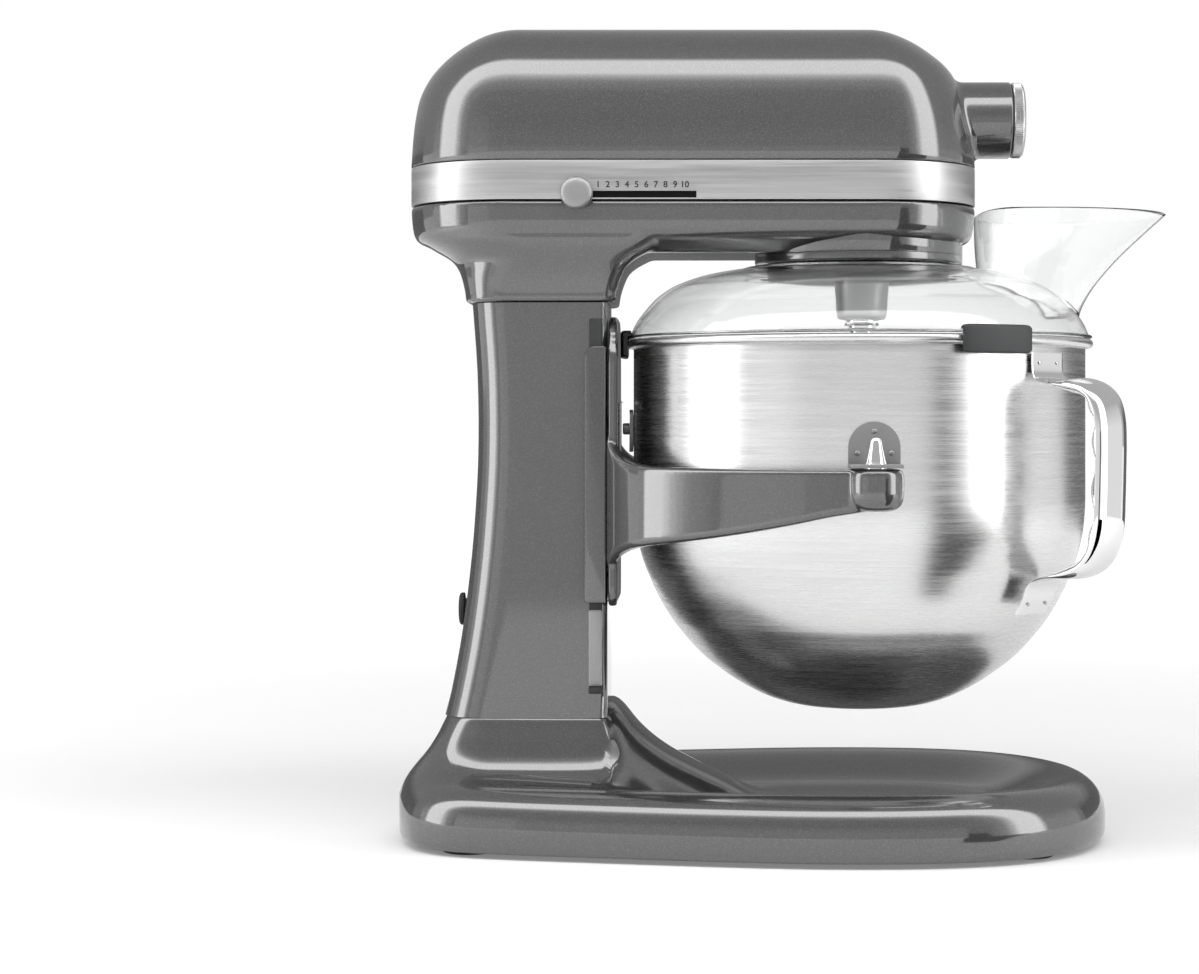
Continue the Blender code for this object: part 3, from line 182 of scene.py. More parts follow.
def chrome():
    m = Nodes("chrome")
    smear = m.spread(m.noise(60.0, 5.0), 0.35, 0.7, 0.03, 0.09)
    m.link(smear, m.shader.inputs["Roughness"])
    m.link(m.blend(m.noise(9.0), grey(0.80), grey(0.86)), m.shader.inputs["Base Color"])
    m.set(Metallic=1.0)
    return m.material


def satin(name, tone, rough=0.34):
    """Bead-blasted or die-cast metal with a fine even grain."""
    m = Nodes(name)
    grain = m.noise(1800.0, 3.0)
    cloud = m.noise(30.0, 3.0)
    colour = m.blend(m.spread(cloud, 0.3, 0.7), grey(tone * 0.96), grey(tone * 1.04))
    m.link(colour, m.shader.inputs["Base Color"])
    m.link(m.spread(grain, 0.3, 0.7, rough * 0.9, rough * 1.15), m.shader.inputs["Roughness"])
    m.link(m.bump(grain, 0.000012, 0.5), m.shader.inputs["Normal"])
    m.set(Metallic=1.0)
    return m.material


def moulded(name, colour, rough=0.5, scale=1500.0, depth=0.00002):
    m = Nodes(name)
    grain = m.noise(scale, 3.0)
    dark = tuple(c * 0.85 for c in colour[:3]) + (1.0,)
    m.link(m.blend(m.noise(45.0), colour, dark), m.shader.inputs["Base Color"])
    m.link(m.spread(grain, 0.3, 0.7, rough * 0.85, rough * 1.15), m.shader.inputs["Roughness"])
    m.link(m.bump(grain, depth, 0.5), m.shader.inputs["Normal"])
    return m.material


def clear_plastic():
    m = Nodes("clear_plastic")
    m.link(m.spread(m.noise(40.0, 4.0), 0.3, 0.8, 0.02, 0.06), m.shader.inputs["Roughness"])
    m.link(m.bump(m.noise(12.0, 1.0), 0.0001, 0.15), m.shader.inputs["Normal"])
    m.set(IOR=1.49, Transmission_Weight=1.0, Base_Color=(0.985, 0.99, 0.99, 1.0))
    return m.material


MATERIALS = {
    "paint": enamel(),
    "brushed_band": brushed("brushed_band", 0.50, 0.40, (0.03, 0.03, 1.6), contrast=0.10),
    "satin_metal": satin("satin_metal", 0.36, 0.50),
    "bracket_steel": satin("bracket_steel", 0.30, 0.40),
    "hub_metal": satin("hub_metal", 0.48, 0.36),
    "planet_metal": satin("planet_metal", 0.46, 0.52),
    "brushed_steel": brushed("bowl_steel", 0.72, 0.26, (0.03, 0.03, 1.8), scale=1700.0, contrast=0.07,
                             bump=0.0000006),
    "chrome": chrome(),
    "steel": satin("ground_steel", 0.52, 0.25),
    "iron": satin("cast_iron", 0.22, 0.55),
    "brass": satin("brass_gear", 0.45, 0.3),
    "copper": satin("copper_segments", 0.40, 0.3),
    "clear_plastic": clear_plastic(),
    "dark_plastic": moulded("dark_plastic", (0.020, 0.021, 0.022, 1.0), 0.52),
    "board": moulded("circuit_board", (0.03, 0.12, 0.06, 1.0), 0.4, 400.0),
    "rubber": moulded("foot_rubber", (0.018, 0.018, 0.018, 1.0), 0.75, 900.0, 0.00005),
    "print": moulded("printed_marks", (0.02, 0.02, 0.022, 1.0), 0.6),
    # near-black with little shine, for the plate behind the speed slot: painted shade of the slot's hollow
    "slot_black": moulded("slot_black", (0.003, 0.003, 0.003, 1.0), 0.7),
}
# almost no shine on the slot's painted-shade plate, so it reads as a dark hollow
MATERIALS["slot_black"].node_tree.nodes["Principled BSDF"].inputs["Specular IOR Level"].default_value = 0.1
MATERIALS["brass"].node_tree.nodes["Principled BSDF"].inputs["Metallic"].default_value = 1.0
for key, tint in (("brass", (0.62, 0.44, 0.18)), ("copper", (0.60, 0.30, 0.17))):
    for node in MATERIALS[key].node_tree.nodes:
        if node.bl_idname == "ShaderNodeMix":
            node.inputs["A"].default_value = (*[c * 0.94 for c in tint], 1.0)
            node.inputs["B"].default_value = (*tint, 1.0)


# ----------------------------------------------------------------- geometry helpers

def add_object(name, data):
    obj = bpy.data.objects.new(name, data)
    bpy.context.scene.collection.objects.link(obj)
    return obj


def piece(name, mesh, body, look, nodes=(), sharp=32.0):
    obj = add_object(name, mesh)
    mesh.materials.clear()
    mesh.materials.append(MATERIALS[look])
    mesh.shade_smooth()
    mesh.set_sharp_from_angle(angle=math.radians(sharp))
    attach(obj, body)
    if nodes:
        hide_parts(*nodes)
    return obj


def baked(obj):
    """A new mesh of an object with its modifiers applied."""
    bpy.context.view_layer.update()
    return bpy.data.meshes.new_from_object(obj.evaluated_get(bpy.context.evaluated_depsgraph_get()))


def mesh_from(name, verts, faces):
    """A clean mesh from points in mm."""
    mesh = bpy.data.meshes.new(name)
    mesh.from_pydata([Vector(v) * MM for v in verts], [], faces)
    bm = bmesh.new()
    bm.from_mesh(mesh)
    bmesh.ops.remove_doubles(bm, verts=bm.verts, dist=2e-6)
    bmesh.ops.dissolve_degenerate(bm, edges=bm.edges, dist=1e-6)
    bmesh.ops.recalc_face_normals(bm, faces=bm.faces)
    bm.to_mesh(mesh)
    bm.free()
    return mesh


def loft(name, rings, closed=False, cap_start=True, cap_end=True):
    """Skins a row of rings that have the same number of points; closed joins the last ring to the first."""
    count = len(rings[0])
    verts = [p for ring in rings for p in ring]
    faces = []
    last = len(rings) if closed else len(rings) - 1
    for i in range(last):
        a = i * count
        b = ((i + 1) % len(rings)) * count
        for k in range(count):
            n = (k + 1) % count
            faces.append((a + k, a + n, b + n, b + k))
    if not closed and cap_start:
        faces.append(tuple(range(count)))
    if not closed and cap_end:
        faces.append(tuple(range((len(rings) - 1) * count, len(rings) * count)))
    return mesh_from(name, verts, faces)


def axis_point(axis, at, r, a, h):
    c, s = r * math.cos(a), r * math.sin(a)
    if axis == "Z":
        return (at[0] + c, at[1] + s, at[2] + h)
    if axis == "X":
        return (at[0] + h, at[1] + c, at[2] + s)
    return (at[0] + c, at[1] + h, at[2] + s)


def lathe(name, profile, steps=96, at=(0.0, 0.0, 0.0), axis="Z", ring=False, wave=None):
    """Revolves (radius, height) points. wave(step, row) may scale a point's radius, as on a knurl."""
    rings = []
    for i, (r, h) in enumerate(profile):
        row = []
        for k in range(steps):
            a = 2.0 * math.pi * k / steps
            scale = wave(k, i) if wave else 1.0
            row.append(axis_point(axis, at, r * scale, a, h))
        rings.append(row)
    return loft(name, rings, closed=ring)


def hermite(p1, p2, m1, m2, t):
    return (p1 * (2 * t**3 - 3 * t**2 + 1) + m1 * (t**3 - 2 * t**2 + t)
            + p2 * (-2 * t**3 + 3 * t**2) + m2 * (t**3 - t**2))


def smooth(points, per=6, closed=False):
    """More points on a smooth curve through points of any dimension."""
    n = len(points)
    out = []
    spans = n if closed else n - 1
    for i in range(spans):
        if closed:
            p = [Vector(points[(i + k) % n]) for k in (-1, 0, 1, 2)]
        else:
            p = [Vector(points[min(max(i + k, 0), n - 1)]) for k in (-1, 0, 1, 2)]
        d = (p[2] - p[1]).length
        m1 = (p[2] - p[0]) / max((p[2] - p[0]).length, 1e-9) * d
        m2 = (p[3] - p[1]) / max((p[3] - p[1]).length, 1e-9) * d
        out += [tuple(hermite(p[1], p[2], m1, m2, j / per)) for j in range(per)]
    if not closed:
        out.append(tuple(points[-1]))
    return out


def direction_at(points, i):
    """The way an open row of points runs at its point i, from the points before and after it."""
    before, after = Vector(points[max(i - 1, 0)]), Vector(points[min(i + 1, len(points) - 1)])
    return (after - before).normalized()


def fillet_loop(points, radius, steps=5):
    """Rounds the corners of a closed outline; radius may be one number or one per corner."""
    n = len(points)
    out = []
    for i in range(n):
        r = radius[i] if isinstance(radius, (list, tuple)) else radius
        p, a, b = Vector(points[i]), Vector(points[i - 1]), Vector(points[(i + 1) % n])
        da, db = (a - p), (b - p)
        reach = min(r, da.length * 0.49, db.length * 0.49)
        p0 = p + da.normalized() * reach
        p1 = p + db.normalized() * reach
        for k in range(steps + 1):
            t = k / steps
            out.append(tuple(p0 * (1 - t)**2 + p * 2 * t * (1 - t) + p1 * t**2))
    return out


def prism(name, outline, low, high, plane="XZ", bevel=0.4):
    """A flat outline with rounded edges, pushed between two heights."""
    b = min(bevel, (high - low) * 0.45)

    def inset(amount):
        n = len(outline)
        area = sum(outline[i - 1][0] * outline[i][1] - outline[i][0] * outline[i - 1][1] for i in range(n))
        sign = 1.0 if area > 0 else -1.0
        ring = []
        for i in range(n):
            a, c = Vector(outline[i - 1]), Vector(outline[(i + 1) % n])
            d = (c - a).normalized() * sign
            ring.append((outline[i][0] - d.y * amount, outline[i][1] + d.x * amount))
        return ring

    levels = [(b, low), (b * 0.3, low + b * 0.3), (0.0, low + b),
              (0.0, high - b), (b * 0.3, high - b * 0.3), (b, high)]
    return loft(name, [[(u, t, v) if plane == "XZ" else (t, u, v) for u, v in inset(amount)]
                       for amount, t in levels])


def boolean(mesh, tool_mesh, operation="DIFFERENCE"):
    a, b = add_object("target", mesh), add_object("tool", tool_mesh)
    step = a.modifiers.new("cut", "BOOLEAN")
    step.operation = operation
    step.solver = "EXACT"
    step.object = b
    done = baked(a)
    for obj in (a, b):
        bpy.data.objects.remove(obj, do_unlink=True)
    return done


def join(name, meshes):
    bm = bmesh.new()
    for mesh in meshes:
        bm.from_mesh(mesh)
    joined = bpy.data.meshes.new(name)
    bm.to_mesh(joined)
    bm.free()
    return joined


def box_mesh(low, high, bevel=0.4):
    bm = bmesh.new()
    bmesh.ops.create_cube(bm, size=1.0)
    size = Vector(high) - Vector(low)
    middle = (Vector(low) + Vector(high)) / 2.0
    for v in bm.verts:
        v.co = (Vector((v.co.x * size.x, v.co.y * size.y, v.co.z * size.z)) + middle) * MM
    if bevel:
        bmesh.ops.bevel(bm, geom=bm.edges, offset=bevel * MM, segments=3, profile=0.5, affect="EDGES")
    mesh = bpy.data.meshes.new("box")
    bm.to_mesh(mesh)
    bm.free()
    return mesh


def lerp_table(table, z):
    """Reads a table of (z, value, ...) rows at z with smooth interpolation."""
    if z <= table[0][0]:
        return table[0][1:]
    if z >= table[-1][0]:
        return table[-1][1:]
    for i in range(len(table) - 1):
        if table[i][0] <= z <= table[i + 1][0]:
            break
    p = [table[min(max(i + k, 0), len(table) - 1)] for k in (-1, 0, 1, 2)]
    t = (z - p[1][0]) / (p[2][0] - p[1][0])
    out = []
    for c in range(1, len(table[0])):
        span = p[2][0] - p[1][0]
        m1 = (p[2][c] - p[0][c]) / max(p[2][0] - p[0][0], 1e-9) * span
        m2 = (p[3][c] - p[1][c]) / max(p[3][0] - p[1][0], 1e-9) * span
        out.append(hermite(p[1][c], p[2][c], m1, m2, t))
    return out


def ease(low, high, x):
    t = min(1.0, max(0.0, (x - low) / (high - low)))
    return t * t * (3.0 - 2.0 * t)


# ----------------------------------------------------------------- pedestal

BASE_PLAN = [  # right half of the base's outline, from the front to the back
    (166.2, 0.0), (163.5, 30.0), (154.5, 58.0), (139.0, 82.0), (117.0, 100.5), (90.0, 112.0), (60.0, 117.5),
    (30.0, 118.5), (0.0, 116.5), (-35.0, 111.0), (-70.0, 104.0), (-105.0, 96.5), (-140.0, 88.5), (-168.0, 79.0),
    (-186.0, 64.0), (-195.5, 42.0), (-199.0, 20.0), (-199.7, 0.0),
]
COLUMN_BACK = [  # (height, X of the column's back)
    (60.0, -176.5), (76.0, -172.2), (92.0, -169.0), (108.0, -166.2), (132.0, -163.0), (160.0, -160.2),
    (200.0, -158.0), (240.0, -158.4), (COLUMN_TOP, -160.9),
]
CENTRE = Vector((-128.0, 0.0))
PLAN_STEPS = 320
COLUMN_LEVELS = 19
REAR_RADIUS = 22.0
FRONT_RADIUS = 5.0
FOOT_SEAM = 70.0  # height of the section that the foot grows out of


def even_steps(loop):
    """PLAN_STEPS points at even shares of the way round a closed loop, from its first point on."""
    length = [0.0]
    for i, p in enumerate(loop):
        length.append(length[-1] + (loop[(i + 1) % len(loop)] - p).length)
    out = []
    j = 0
    for k in range(PLAN_STEPS):
        want = length[-1] * k / PLAN_STEPS
        while length[j + 1] < want:
            j += 1
        t = (want - length[j]) / max(length[j + 1] - length[j], 1e-9)
        out.append(loop[j].lerp(loop[(j + 1) % len(loop)], t))
    return out


def plan_outline():
    """The base's outline, starting at the middle of its front."""
    half = BASE_PLAN + [(x, -y) for x, y in reversed(BASE_PLAN[1:-1])]
    return even_steps([Vector(p) for p in smooth(half, 12, closed=True)])


@functools.cache
def column_outline(z):
    """The column's section at a height, starting at the middle of its front."""
    back, front, half = lerp_table(COLUMN_BACK, z)[0], COLUMN_FRONT, COLUMN_HALF
    corners = [(front, 0.0), (front, half), (back, half), (back, 0.0), (back, -half), (front, -half)]
    radii = [0.0, FRONT_RADIUS, REAR_RADIUS, 0.0, REAR_RADIUS, FRONT_RADIUS]
    dense = []
    for i, r in enumerate(radii):
        p, a, b = Vector(corners[i]), Vector(corners[i - 1]), Vector(corners[(i + 1) % len(corners)])
        if r == 0.0:
            dense.append(p)
            continue
        p0 = p + (a - p).normalized() * r
        p1 = p + (b - p).normalized() * r
        middle = p0 + p1 - p
        start = math.atan2(p0.y - middle.y, p0.x - middle.x)
        for k in range(17):
            t = start + math.pi / 2.0 * k / 16
            dense.append(middle + Vector((math.cos(t), math.sin(t))) * r)
    return even_steps(dense)


# (distance from the column's section, height) of its foot, and (distance in from the outline, height) of the edge
SIDE_FLARE = [(0.0, 66.0), (0.6, 65.6), (1.4, 63.6), (2.4, 59.4), (3.7, 53.8), (5.6, 47.4), (9.0, 41.0),
              (13.5, 36.0), (19.0, 31.0), (26.0, 24.0), (34.0, 14.0), (44.0, 0.0), (60.0, -30.0), (90.0, -60.0)]
REAR_FLARE = [(0.0, 66.0), (2.0, 62.0), (5.0, 56.0), (8.5, 50.0), (12.5, 44.5), (17.5, 38.5), (22.5, 31.0),
              (27.0, 20.0), (40.0, -5.0), (90.0, -60.0)]
FRONT_FLARE = [(0.0, 71.6), (2.2, 71.4), (5.0, 69.8), (8.6, 66.0), (12.0, 61.2), (16.8, 55.6), (23.5, 49.6),
               (33.0, 43.2), (46.0, 36.6), (62.0, 29.0), (90.0, 12.0), (120.0, -10.0)]
EDGE = [(0.0, 15.0), (0.5, 19.0), (1.8, 23.5), (4.4, 27.8), (8.2, 31.2), (12.8, 33.2), (18.0, 34.0),
        (24.0, 33.6)]
DISH_DEPTH = 13.6
RAMP_HALF = 40.0
SHOULDER_DROP = 9.0


def smooth_max(a, b, k):
    """The larger of two heights, with a fillet of about k where they meet."""
    return (a + b + math.sqrt((a - b)**2 + k * k)) / 2.0


def base_height(inset):
    """Height of the base's top at a distance in from its outline: a rounded crest, then the dish."""
    width, crest = EDGE[-1]
    if inset < width:
        return lerp_table(EDGE, inset)[0]
    return crest - DISH_DEPTH * ease(22.0, 62.0, inset)


def flare_height(distance, direction, at):
    """Height of the column's flared foot: a steep skirt all round, and a round-shouldered ramp in front."""
    rear_part = ease(0.0, 1.0, -direction)
    side, rear = lerp_table(SIDE_FLARE, distance)[0], lerp_table(REAR_FLARE, distance)[0]
    skirt = side * (1.0 - rear_part) + rear * rear_part
    ahead = at.x - COLUMN_FRONT
    u = abs(at.y) / RAMP_HALF
    fall = SHOULDER_DROP * u**4 + 60.0 * max(0.0, u - 1.0)**1.5
    ramp = lerp_table(FRONT_FLARE, max(0.0, ahead))[0] - fall - 4.0 * max(0.0, -ahead)
    return smooth_max(skirt, ramp, 1.5 + 0.8 * min(distance, 12.0)) - 0.4


def pedestal():
    """One skin from the base's underside over its edge, dish and flared foot to the column's top."""
    outline = plan_outline()
    normals = [normal_of(outline, i) for i in range(PLAN_STEPS)]
    edge_points = np.array([tuple(p) for p in outline])
    foot = column_outline(FOOT_SEAM)
    foot_back = lerp_table(COLUMN_BACK, FOOT_SEAM)[0]
    inner = [p - (p - CENTRE).normalized() * 4.0 for p in outline]
    rings = [[(p.x, p.y, z) for p in inner] for z in (6.0, 2.6)]
    for inset, z in ((3.0, 2.5), (1.6, 3.0), (0.5, 4.6), (0.0, 7.0), (0.0, 11.0)):
        rings.append([tuple((p - n * inset).to_3d() + Vector((0, 0, z))) for p, n in zip(outline, normals)])
    insets = [0.0, 0.25, 0.7, 1.4, 2.5, 4.0, 6.0, 8.4, 11.0, 14.0, 17.5, 21.0]
    spans = 56
    for j in range(len(insets) + spans):
        row = []
        for p, n, q in zip(outline, normals, foot):
            room = min(1.0, (p - q).length / 34.0)
            if j < len(insets):
                from_edge = insets[j] * room
                at = p - n * insets[j] * room
            else:
                t = 1.0 - (1.0 - (j - len(insets) + 1) / spans)**1.5
                at = (p - n * insets[-1] * room).lerp(q, t)
                from_edge = distance_to(edge_points, at)
            from_foot, forward = way_out(at, foot_back)
            height = smooth_max(base_height(from_edge), flare_height(from_foot, forward, at), 5.0) - 0.4
            row.append((at.x, at.y, height))
        rings.append(row)
    start_heights = [p[2] for p in rings[-1]]
    for j in range(COLUMN_LEVELS):
        t = j / (COLUMN_LEVELS - 1)
        row = []
        for i, start in enumerate(start_heights):
            z = start + (COLUMN_TOP - start) * t
            p = column_outline(round(z, 1))[i]
            row.append((p.x, p.y, z))
        rings.append(row)
    mesh = loft("pedestal", rings, cap_start=False)
    piece("pedestal", mesh, "stand", "paint", ["pedestal_casting"], 50.0)


def normal_of(loop, i):
    """The outward normal at point i of a closed outline."""
    d = loop[(i + 1) % len(loop)] - loop[i - 1]
    d.normalize()
    return Vector((d.y, -d.x))


def distance_to(loop, p):
    """Distance from a point to a closed outline."""
    d = np.roll(loop, -1, axis=0) - loop
    w = np.array(tuple(p)) - loop
    t = np.clip((w * d).sum(axis=1) / (d * d).sum(axis=1), 0.0, 1.0)
    off = w - d * t[:, None]
    return float(np.sqrt((off**2).sum(axis=1)).min())


def way_out(at, back):
    """Distance of a point from the column's section, and how far forward that way points."""
    y = abs(at.y)
    rear_centre, front_centre = back + REAR_RADIUS, COLUMN_FRONT - FRONT_RADIUS
    if rear_centre <= at.x <= front_centre:
        return max(0.0, y - COLUMN_HALF), 0.0
    behind = at.x < rear_centre
    radius = REAR_RADIUS if behind else FRONT_RADIUS
    ahead = at.x - (rear_centre if behind else front_centre)
    aside = max(0.0, y - (COLUMN_HALF - radius))
    length = math.hypot(ahead, aside)
    return max(0.0, length - radius), ahead / max(length, 1e-6)


# ----------------------------------------------------------------- head

UPPER = [  # (height, back, front, half width) of the cover
    (BAND_HIGH, -194.4, 99.7, 57.0), (355.0, -194.0, 99.1, 56.9), (363.0, -193.4, 98.2, 56.7),
    (374.0, -192.0, 96.0, 55.9), (384.0, -189.7, 93.2, 54.2), (393.0, -185.2, 89.6, 51.5),
    (400.0, -179.6, 84.6, 48.0), (406.5, -172.4, 76.8, 43.2), (411.5, -165.0, 69.2, 37.6),
    (415.4, -157.2, 61.0, 30.5), (417.6, -149.5, 54.5, 22.0), (418.6, -143.0, 48.0, 13.0),
    (HEAD_TOP, -139.0, 44.0, 2.0),
]
ARC = 40  # steps in a quarter turn of a head section's end


def head_ring(back, front, half, z, straight=24):
    """A head section: straight sides with an elliptical end at each side, as a ring of points."""
    eb = max(END_BACK, back + 0.5)
    ef = min(END_FRONT, front - 0.5)
    points = []
    for i in range(2 * ARC + 1):
        a = math.radians(-90.0 + 180.0 * i / (2 * ARC))
        points.append((ef + (front - ef) * math.cos(a), half * math.sin(a), z))
    for i in range(1, straight):
        points.append((ef + (eb - ef) * i / straight, half, z))
    for i in range(2 * ARC + 1):
        a = math.radians(-90.0 + 180.0 * i / (2 * ARC))
        points.append((eb - (eb - back) * math.cos(a), -half * math.sin(a), z))
    for i in range(1, straight):
        points.append((eb + (ef - eb) * i / straight, -half, z))
    return points


def band_ring(inset, z, straight=24):
    """The head's section at the band, drawn in all round by an inset."""
    return head_ring(HEAD_BACK + inset, HEAD_FRONT - inset, HEAD_HALF - inset, z, straight)


def head():
    """The cover, and the lower housing: a tray whose underside flows down into the neck over the column."""
    rings = []
    _, back, front, half = UPPER[0]
    for inset, lift in ((3.0, 0.35), (0.9, 0.35), (0.35, 0.5), (0.0, 0.95)):
        rings.append(head_ring(back + inset, front - inset, half - inset, BAND_HIGH + lift))
    rings += [head_ring(back, front, half, z) for z, back, front, half in smooth(UPPER[1:], 6)]
    mesh = loft("head_cover", rings, cap_start=False)
    piece("head_cover", mesh, "stand", "paint", ["head_upper_cover"], 60.0)

    tray = [(BAND_LOW - 0.35, 3.0), (BAND_LOW - 0.35, 0.9), (BAND_LOW - 0.5, 0.35), (BAND_LOW - 0.95, 0.0),
            (320.0, 0.4), (315.0, 1.0), (311.6, 1.9), (309.4, 3.4), (307.9, 5.8), (306.6, 9.0), (305.0, 13.0),
            (303.4, 17.0), (302.0, 21.0)]
    body = loft("housing", [band_ring(inset, z) for z, inset in tray[:3] + smooth(tray[3:], 5)])
    neck = [(276.5, -164.1, -86.6, 45.2, 20.0, 8.0), (280.0, -164.3, -86.4, 45.3, 21.0, 8.0),
            (284.0, -165.0, -85.6, 45.8, 22.0, 9.0), (290.0, -166.7, -83.6, 47.2, 26.0, 10.0),
            (295.0, -169.2, -80.9, 49.2, 34.0, 12.0), (299.0, -172.8, -75.6, 51.4, 42.0, 14.0),
            (302.0, -177.2, -69.6, 53.0, 46.0, 16.0), (305.0, -182.6, -64.0, 54.2, 49.0, 18.0),
            (309.0, -187.5, -59.0, 55.0, 50.0, 20.0), (316.0, -188.0, -58.0, 55.0, 50.0, 20.0)]
    rings = [neck_ring(276.5, -162.9, -87.8, 44.0, 19.0, 7.0), neck_ring(276.6, -163.6, -87.1, 44.7, 19.6, 7.6)]
    rings += [neck_ring(z + 0.5 if z < 276.6 else z, *row) for z, *row in smooth(neck, 4)]
    body = boolean(body, loft("neck", rings), "UNION")
    obj = piece("head_housing", body, "stand", "paint", ["head_lower_housing"], 60.0)
    soften(obj, 0.0011, 14)


def neck_ring(z, back, front, half, rear_r, front_r, corner=16):
    """A rectangle with one radius at its two front corners and one at the rear ones."""
    points = []
    x0, y0, x1, y1 = front - front_r, half - front_r, back + rear_r, half - rear_r
    for cx, cy, a0, r in ((x0, y0, 0, front_r), (x1, y1, 90, rear_r),
                          (x1, -y1, 180, rear_r), (x0, -y0, 270, front_r)):
        for i in range(corner + 1):
            a = math.radians(a0 + 90.0 * i / corner)
            points.append((cx + r * math.cos(a), cy + r * math.sin(a), z))
    return points


def soften(obj, voxel, rounds):
    """Remeshes a union evenly and relaxes it, so that its parts flow together like one casting."""
    step = obj.modifiers.new("even", "REMESH")
    step.mode = "VOXEL"
    step.voxel_size = voxel
    relax = obj.modifiers.new("relax", "SMOOTH")
    relax.factor = 0.5
    relax.iterations = rounds
    done = baked(obj)
    obj.modifiers.clear()
    look = obj.data.materials[0]
    obj.data = done
    done.materials.clear()
    done.materials.append(look)
    done.shade_smooth()


def band():
    """The brushed band round the head, with the slot for the speed knob and a near-black plate of painted shade behind
    it.
    """
    rows = [(2.5, BAND_LOW), (0.5, BAND_LOW), (0.12, BAND_LOW + 0.12), (0.0, BAND_LOW + 0.5),
            (0.0, BAND_HIGH - 0.5), (0.12, BAND_HIGH - 0.12), (0.5, BAND_HIGH), (2.5, BAND_HIGH)]
    mesh = loft("trim", [band_ring(inset, z, 120) for inset, z in rows], closed=True)
    mesh = boolean(mesh, box_mesh((-110.6, -60.0, 328.3), (-45.9, -50.0, 331.7), 0.0))
    piece("trim_strip", mesh, "stand", "brushed_band", ["trim_band"])
    # A near-black plate just behind the slot: painted shade in the slot's hollow, not a real part.
    slot = box_mesh((-110.8, -56.6, 328.1), (-45.7, -55.6, 331.9), 0.0)
    piece("speed_slot_painted_shade", slot, "stand", "slot_black")


def digits():
    """Small plain scale numbers above the slot, cut from the built-in font."""
    first, last = -95.3, -51.8
    for n in range(1, 11):
        curve = bpy.data.curves.new("scale_mark", "FONT")
        curve.body = str(n)
        curve.size = 4.4 * MM
        curve.bevel_depth = 0.10 * MM
        curve.bevel_resolution = 1
        curve.align_x = "CENTER"
        curve.extrude = 0.02 * MM
        holder = add_object("scale_mark", curve)
        mesh = baked(holder)
        bpy.data.objects.remove(holder, do_unlink=True)
        x = first + (last - first) * (n - 1) / 9.0
        place = Matrix.Translation(Vector((x, -HEAD_HALF, 333.5)) * MM) @ Matrix.Rotation(math.pi / 2, 4, "X")
        mesh.transform(place)
        piece(f"scale_number_{n}", mesh, "stand", "print")


def speed_knob():
    profile = [(0.0, 67.2), (3.5, 67.15), (5.8, 66.85), (7.2, 66.2), (7.9, 65.3), (8.2, 64.2), (8.2, 59.4),
               (8.05, 58.6), (7.6, 58.1), (6.6, 57.9), (1.6, 57.9), (1.6, 56.5), (0.0, 56.5)]
    profile = [(r, -h) for r, h in smooth(profile, 3)]
    mesh = lathe("knob", profile, 96, (KNOB_X, 0.0, KNOB_Z), "Y")
    piece("speed_control_knob", mesh, "speed_control", "satin_metal", ["speed_knob"])


# rows of the cap's and the screw's profiles that carry the grip pattern
KNURL_ROWS = (5, 6, 7, 8)
GRIP_ROWS = (4, 5, 6)


def head_front(y, z):
    """How far forward the head's surface stands at a height and a distance from the middle."""
    back, front, half = lerp_table(UPPER, z)
    return END_FRONT + (front - END_FRONT) * math.sqrt(max(0.0, 1.0 - (y / half)**2))


def hub():
    """The collar that grows out of the head's nose, its knurled cap and its clamping screw."""
    at = (0.0, 0.0, HUB_Z)
    radius, blend, bore = 19.9, 4.0, 13.6
    steps = 144

    def circle(r, x):
        return [axis_point("X", at, r, 2.0 * math.pi * k / steps, x) for k in range(steps)]

    rings = [circle(r, x) for r, x in ((bore, 108.0), (bore, 118.0), (19.0, 118.0), (19.5, 117.85), (19.82, 117.4),
                                       (19.9, 116.8), (radius, 112.0), (radius, 106.0))]
    for j in range(13):
        t = j / 12
        row = []
        for k in range(steps):
            a = 2.0 * math.pi * k / steps
            near = head_front(radius * math.cos(a), HUB_Z + radius * math.sin(a))
            far = head_front((radius + blend) * math.cos(a), HUB_Z + (radius + blend) * math.sin(a)) - 0.2
            r = radius + blend * t * t
            x = (near + blend) * (1.0 - t)**2 + near * 2.0 * t * (1.0 - t) + far * t * t
            row.append(axis_point("X", at, r, a, x))
        rings.append(row)
    rings += [circle(radius + blend, 84.0), circle(bore, 84.0)]
    mesh = loft("hub", rings, closed=True)
    shape = [head_ring(b + 0.6, f - 0.6, h - 0.6, z) for z, b, f, h in UPPER]
    mesh = boolean(mesh, loft("head_shape", shape))
    piece("hub_collar", mesh, "stand", "paint", ["attachment_hub"], 40.0)

    def knurl(k, i):
        return 0.978 if i in KNURL_ROWS and k % 2 else 1.0

    cap = [(0.0, 124.8), (14.0, 124.8), (17.4, 124.8), (18.4, 124.5), (19.0, 123.9), (19.6, 123.2),
           (19.6, 122.0), (19.6, 120.4), (19.6, 119.4), (19.2, 118.8), (18.6, 118.4), (12.6, 118.4),
           (12.6, 114.2), (0.0, 114.2)]
    mesh = lathe("cap", cap, 240, at, "X", wave=knurl)
    piece("hub_cover_cap", mesh, "hub_cover", "hub_metal", ["hub_cap"], 20.0)

    def grip(k, i):
        return 1.0 - 0.06 * (0.5 - 0.5 * math.cos(2.0 * math.pi * k / 10.0)) if i in GRIP_ROWS else 1.0

    knob = [(0.0, 32.6), (4.6, 32.6), (5.8, 32.2), (6.6, 31.4), (7.0, 30.4), (7.0, 27.0), (7.0, 24.4),
            (6.2, 23.5), (3.2, 23.1), (2.8, 22.6), (2.8, 14.6), (0.0, 14.6)]
    mesh = lathe("thumb", knob, 120, (110.0, 0.0, HUB_Z), "Y", wave=grip)
    piece("attachment_thumbscrew", mesh, "attachment_screw", "dark_plastic",
          ["attachment_knob"], 40.0)


# ----------------------------------------------------------------- planetary

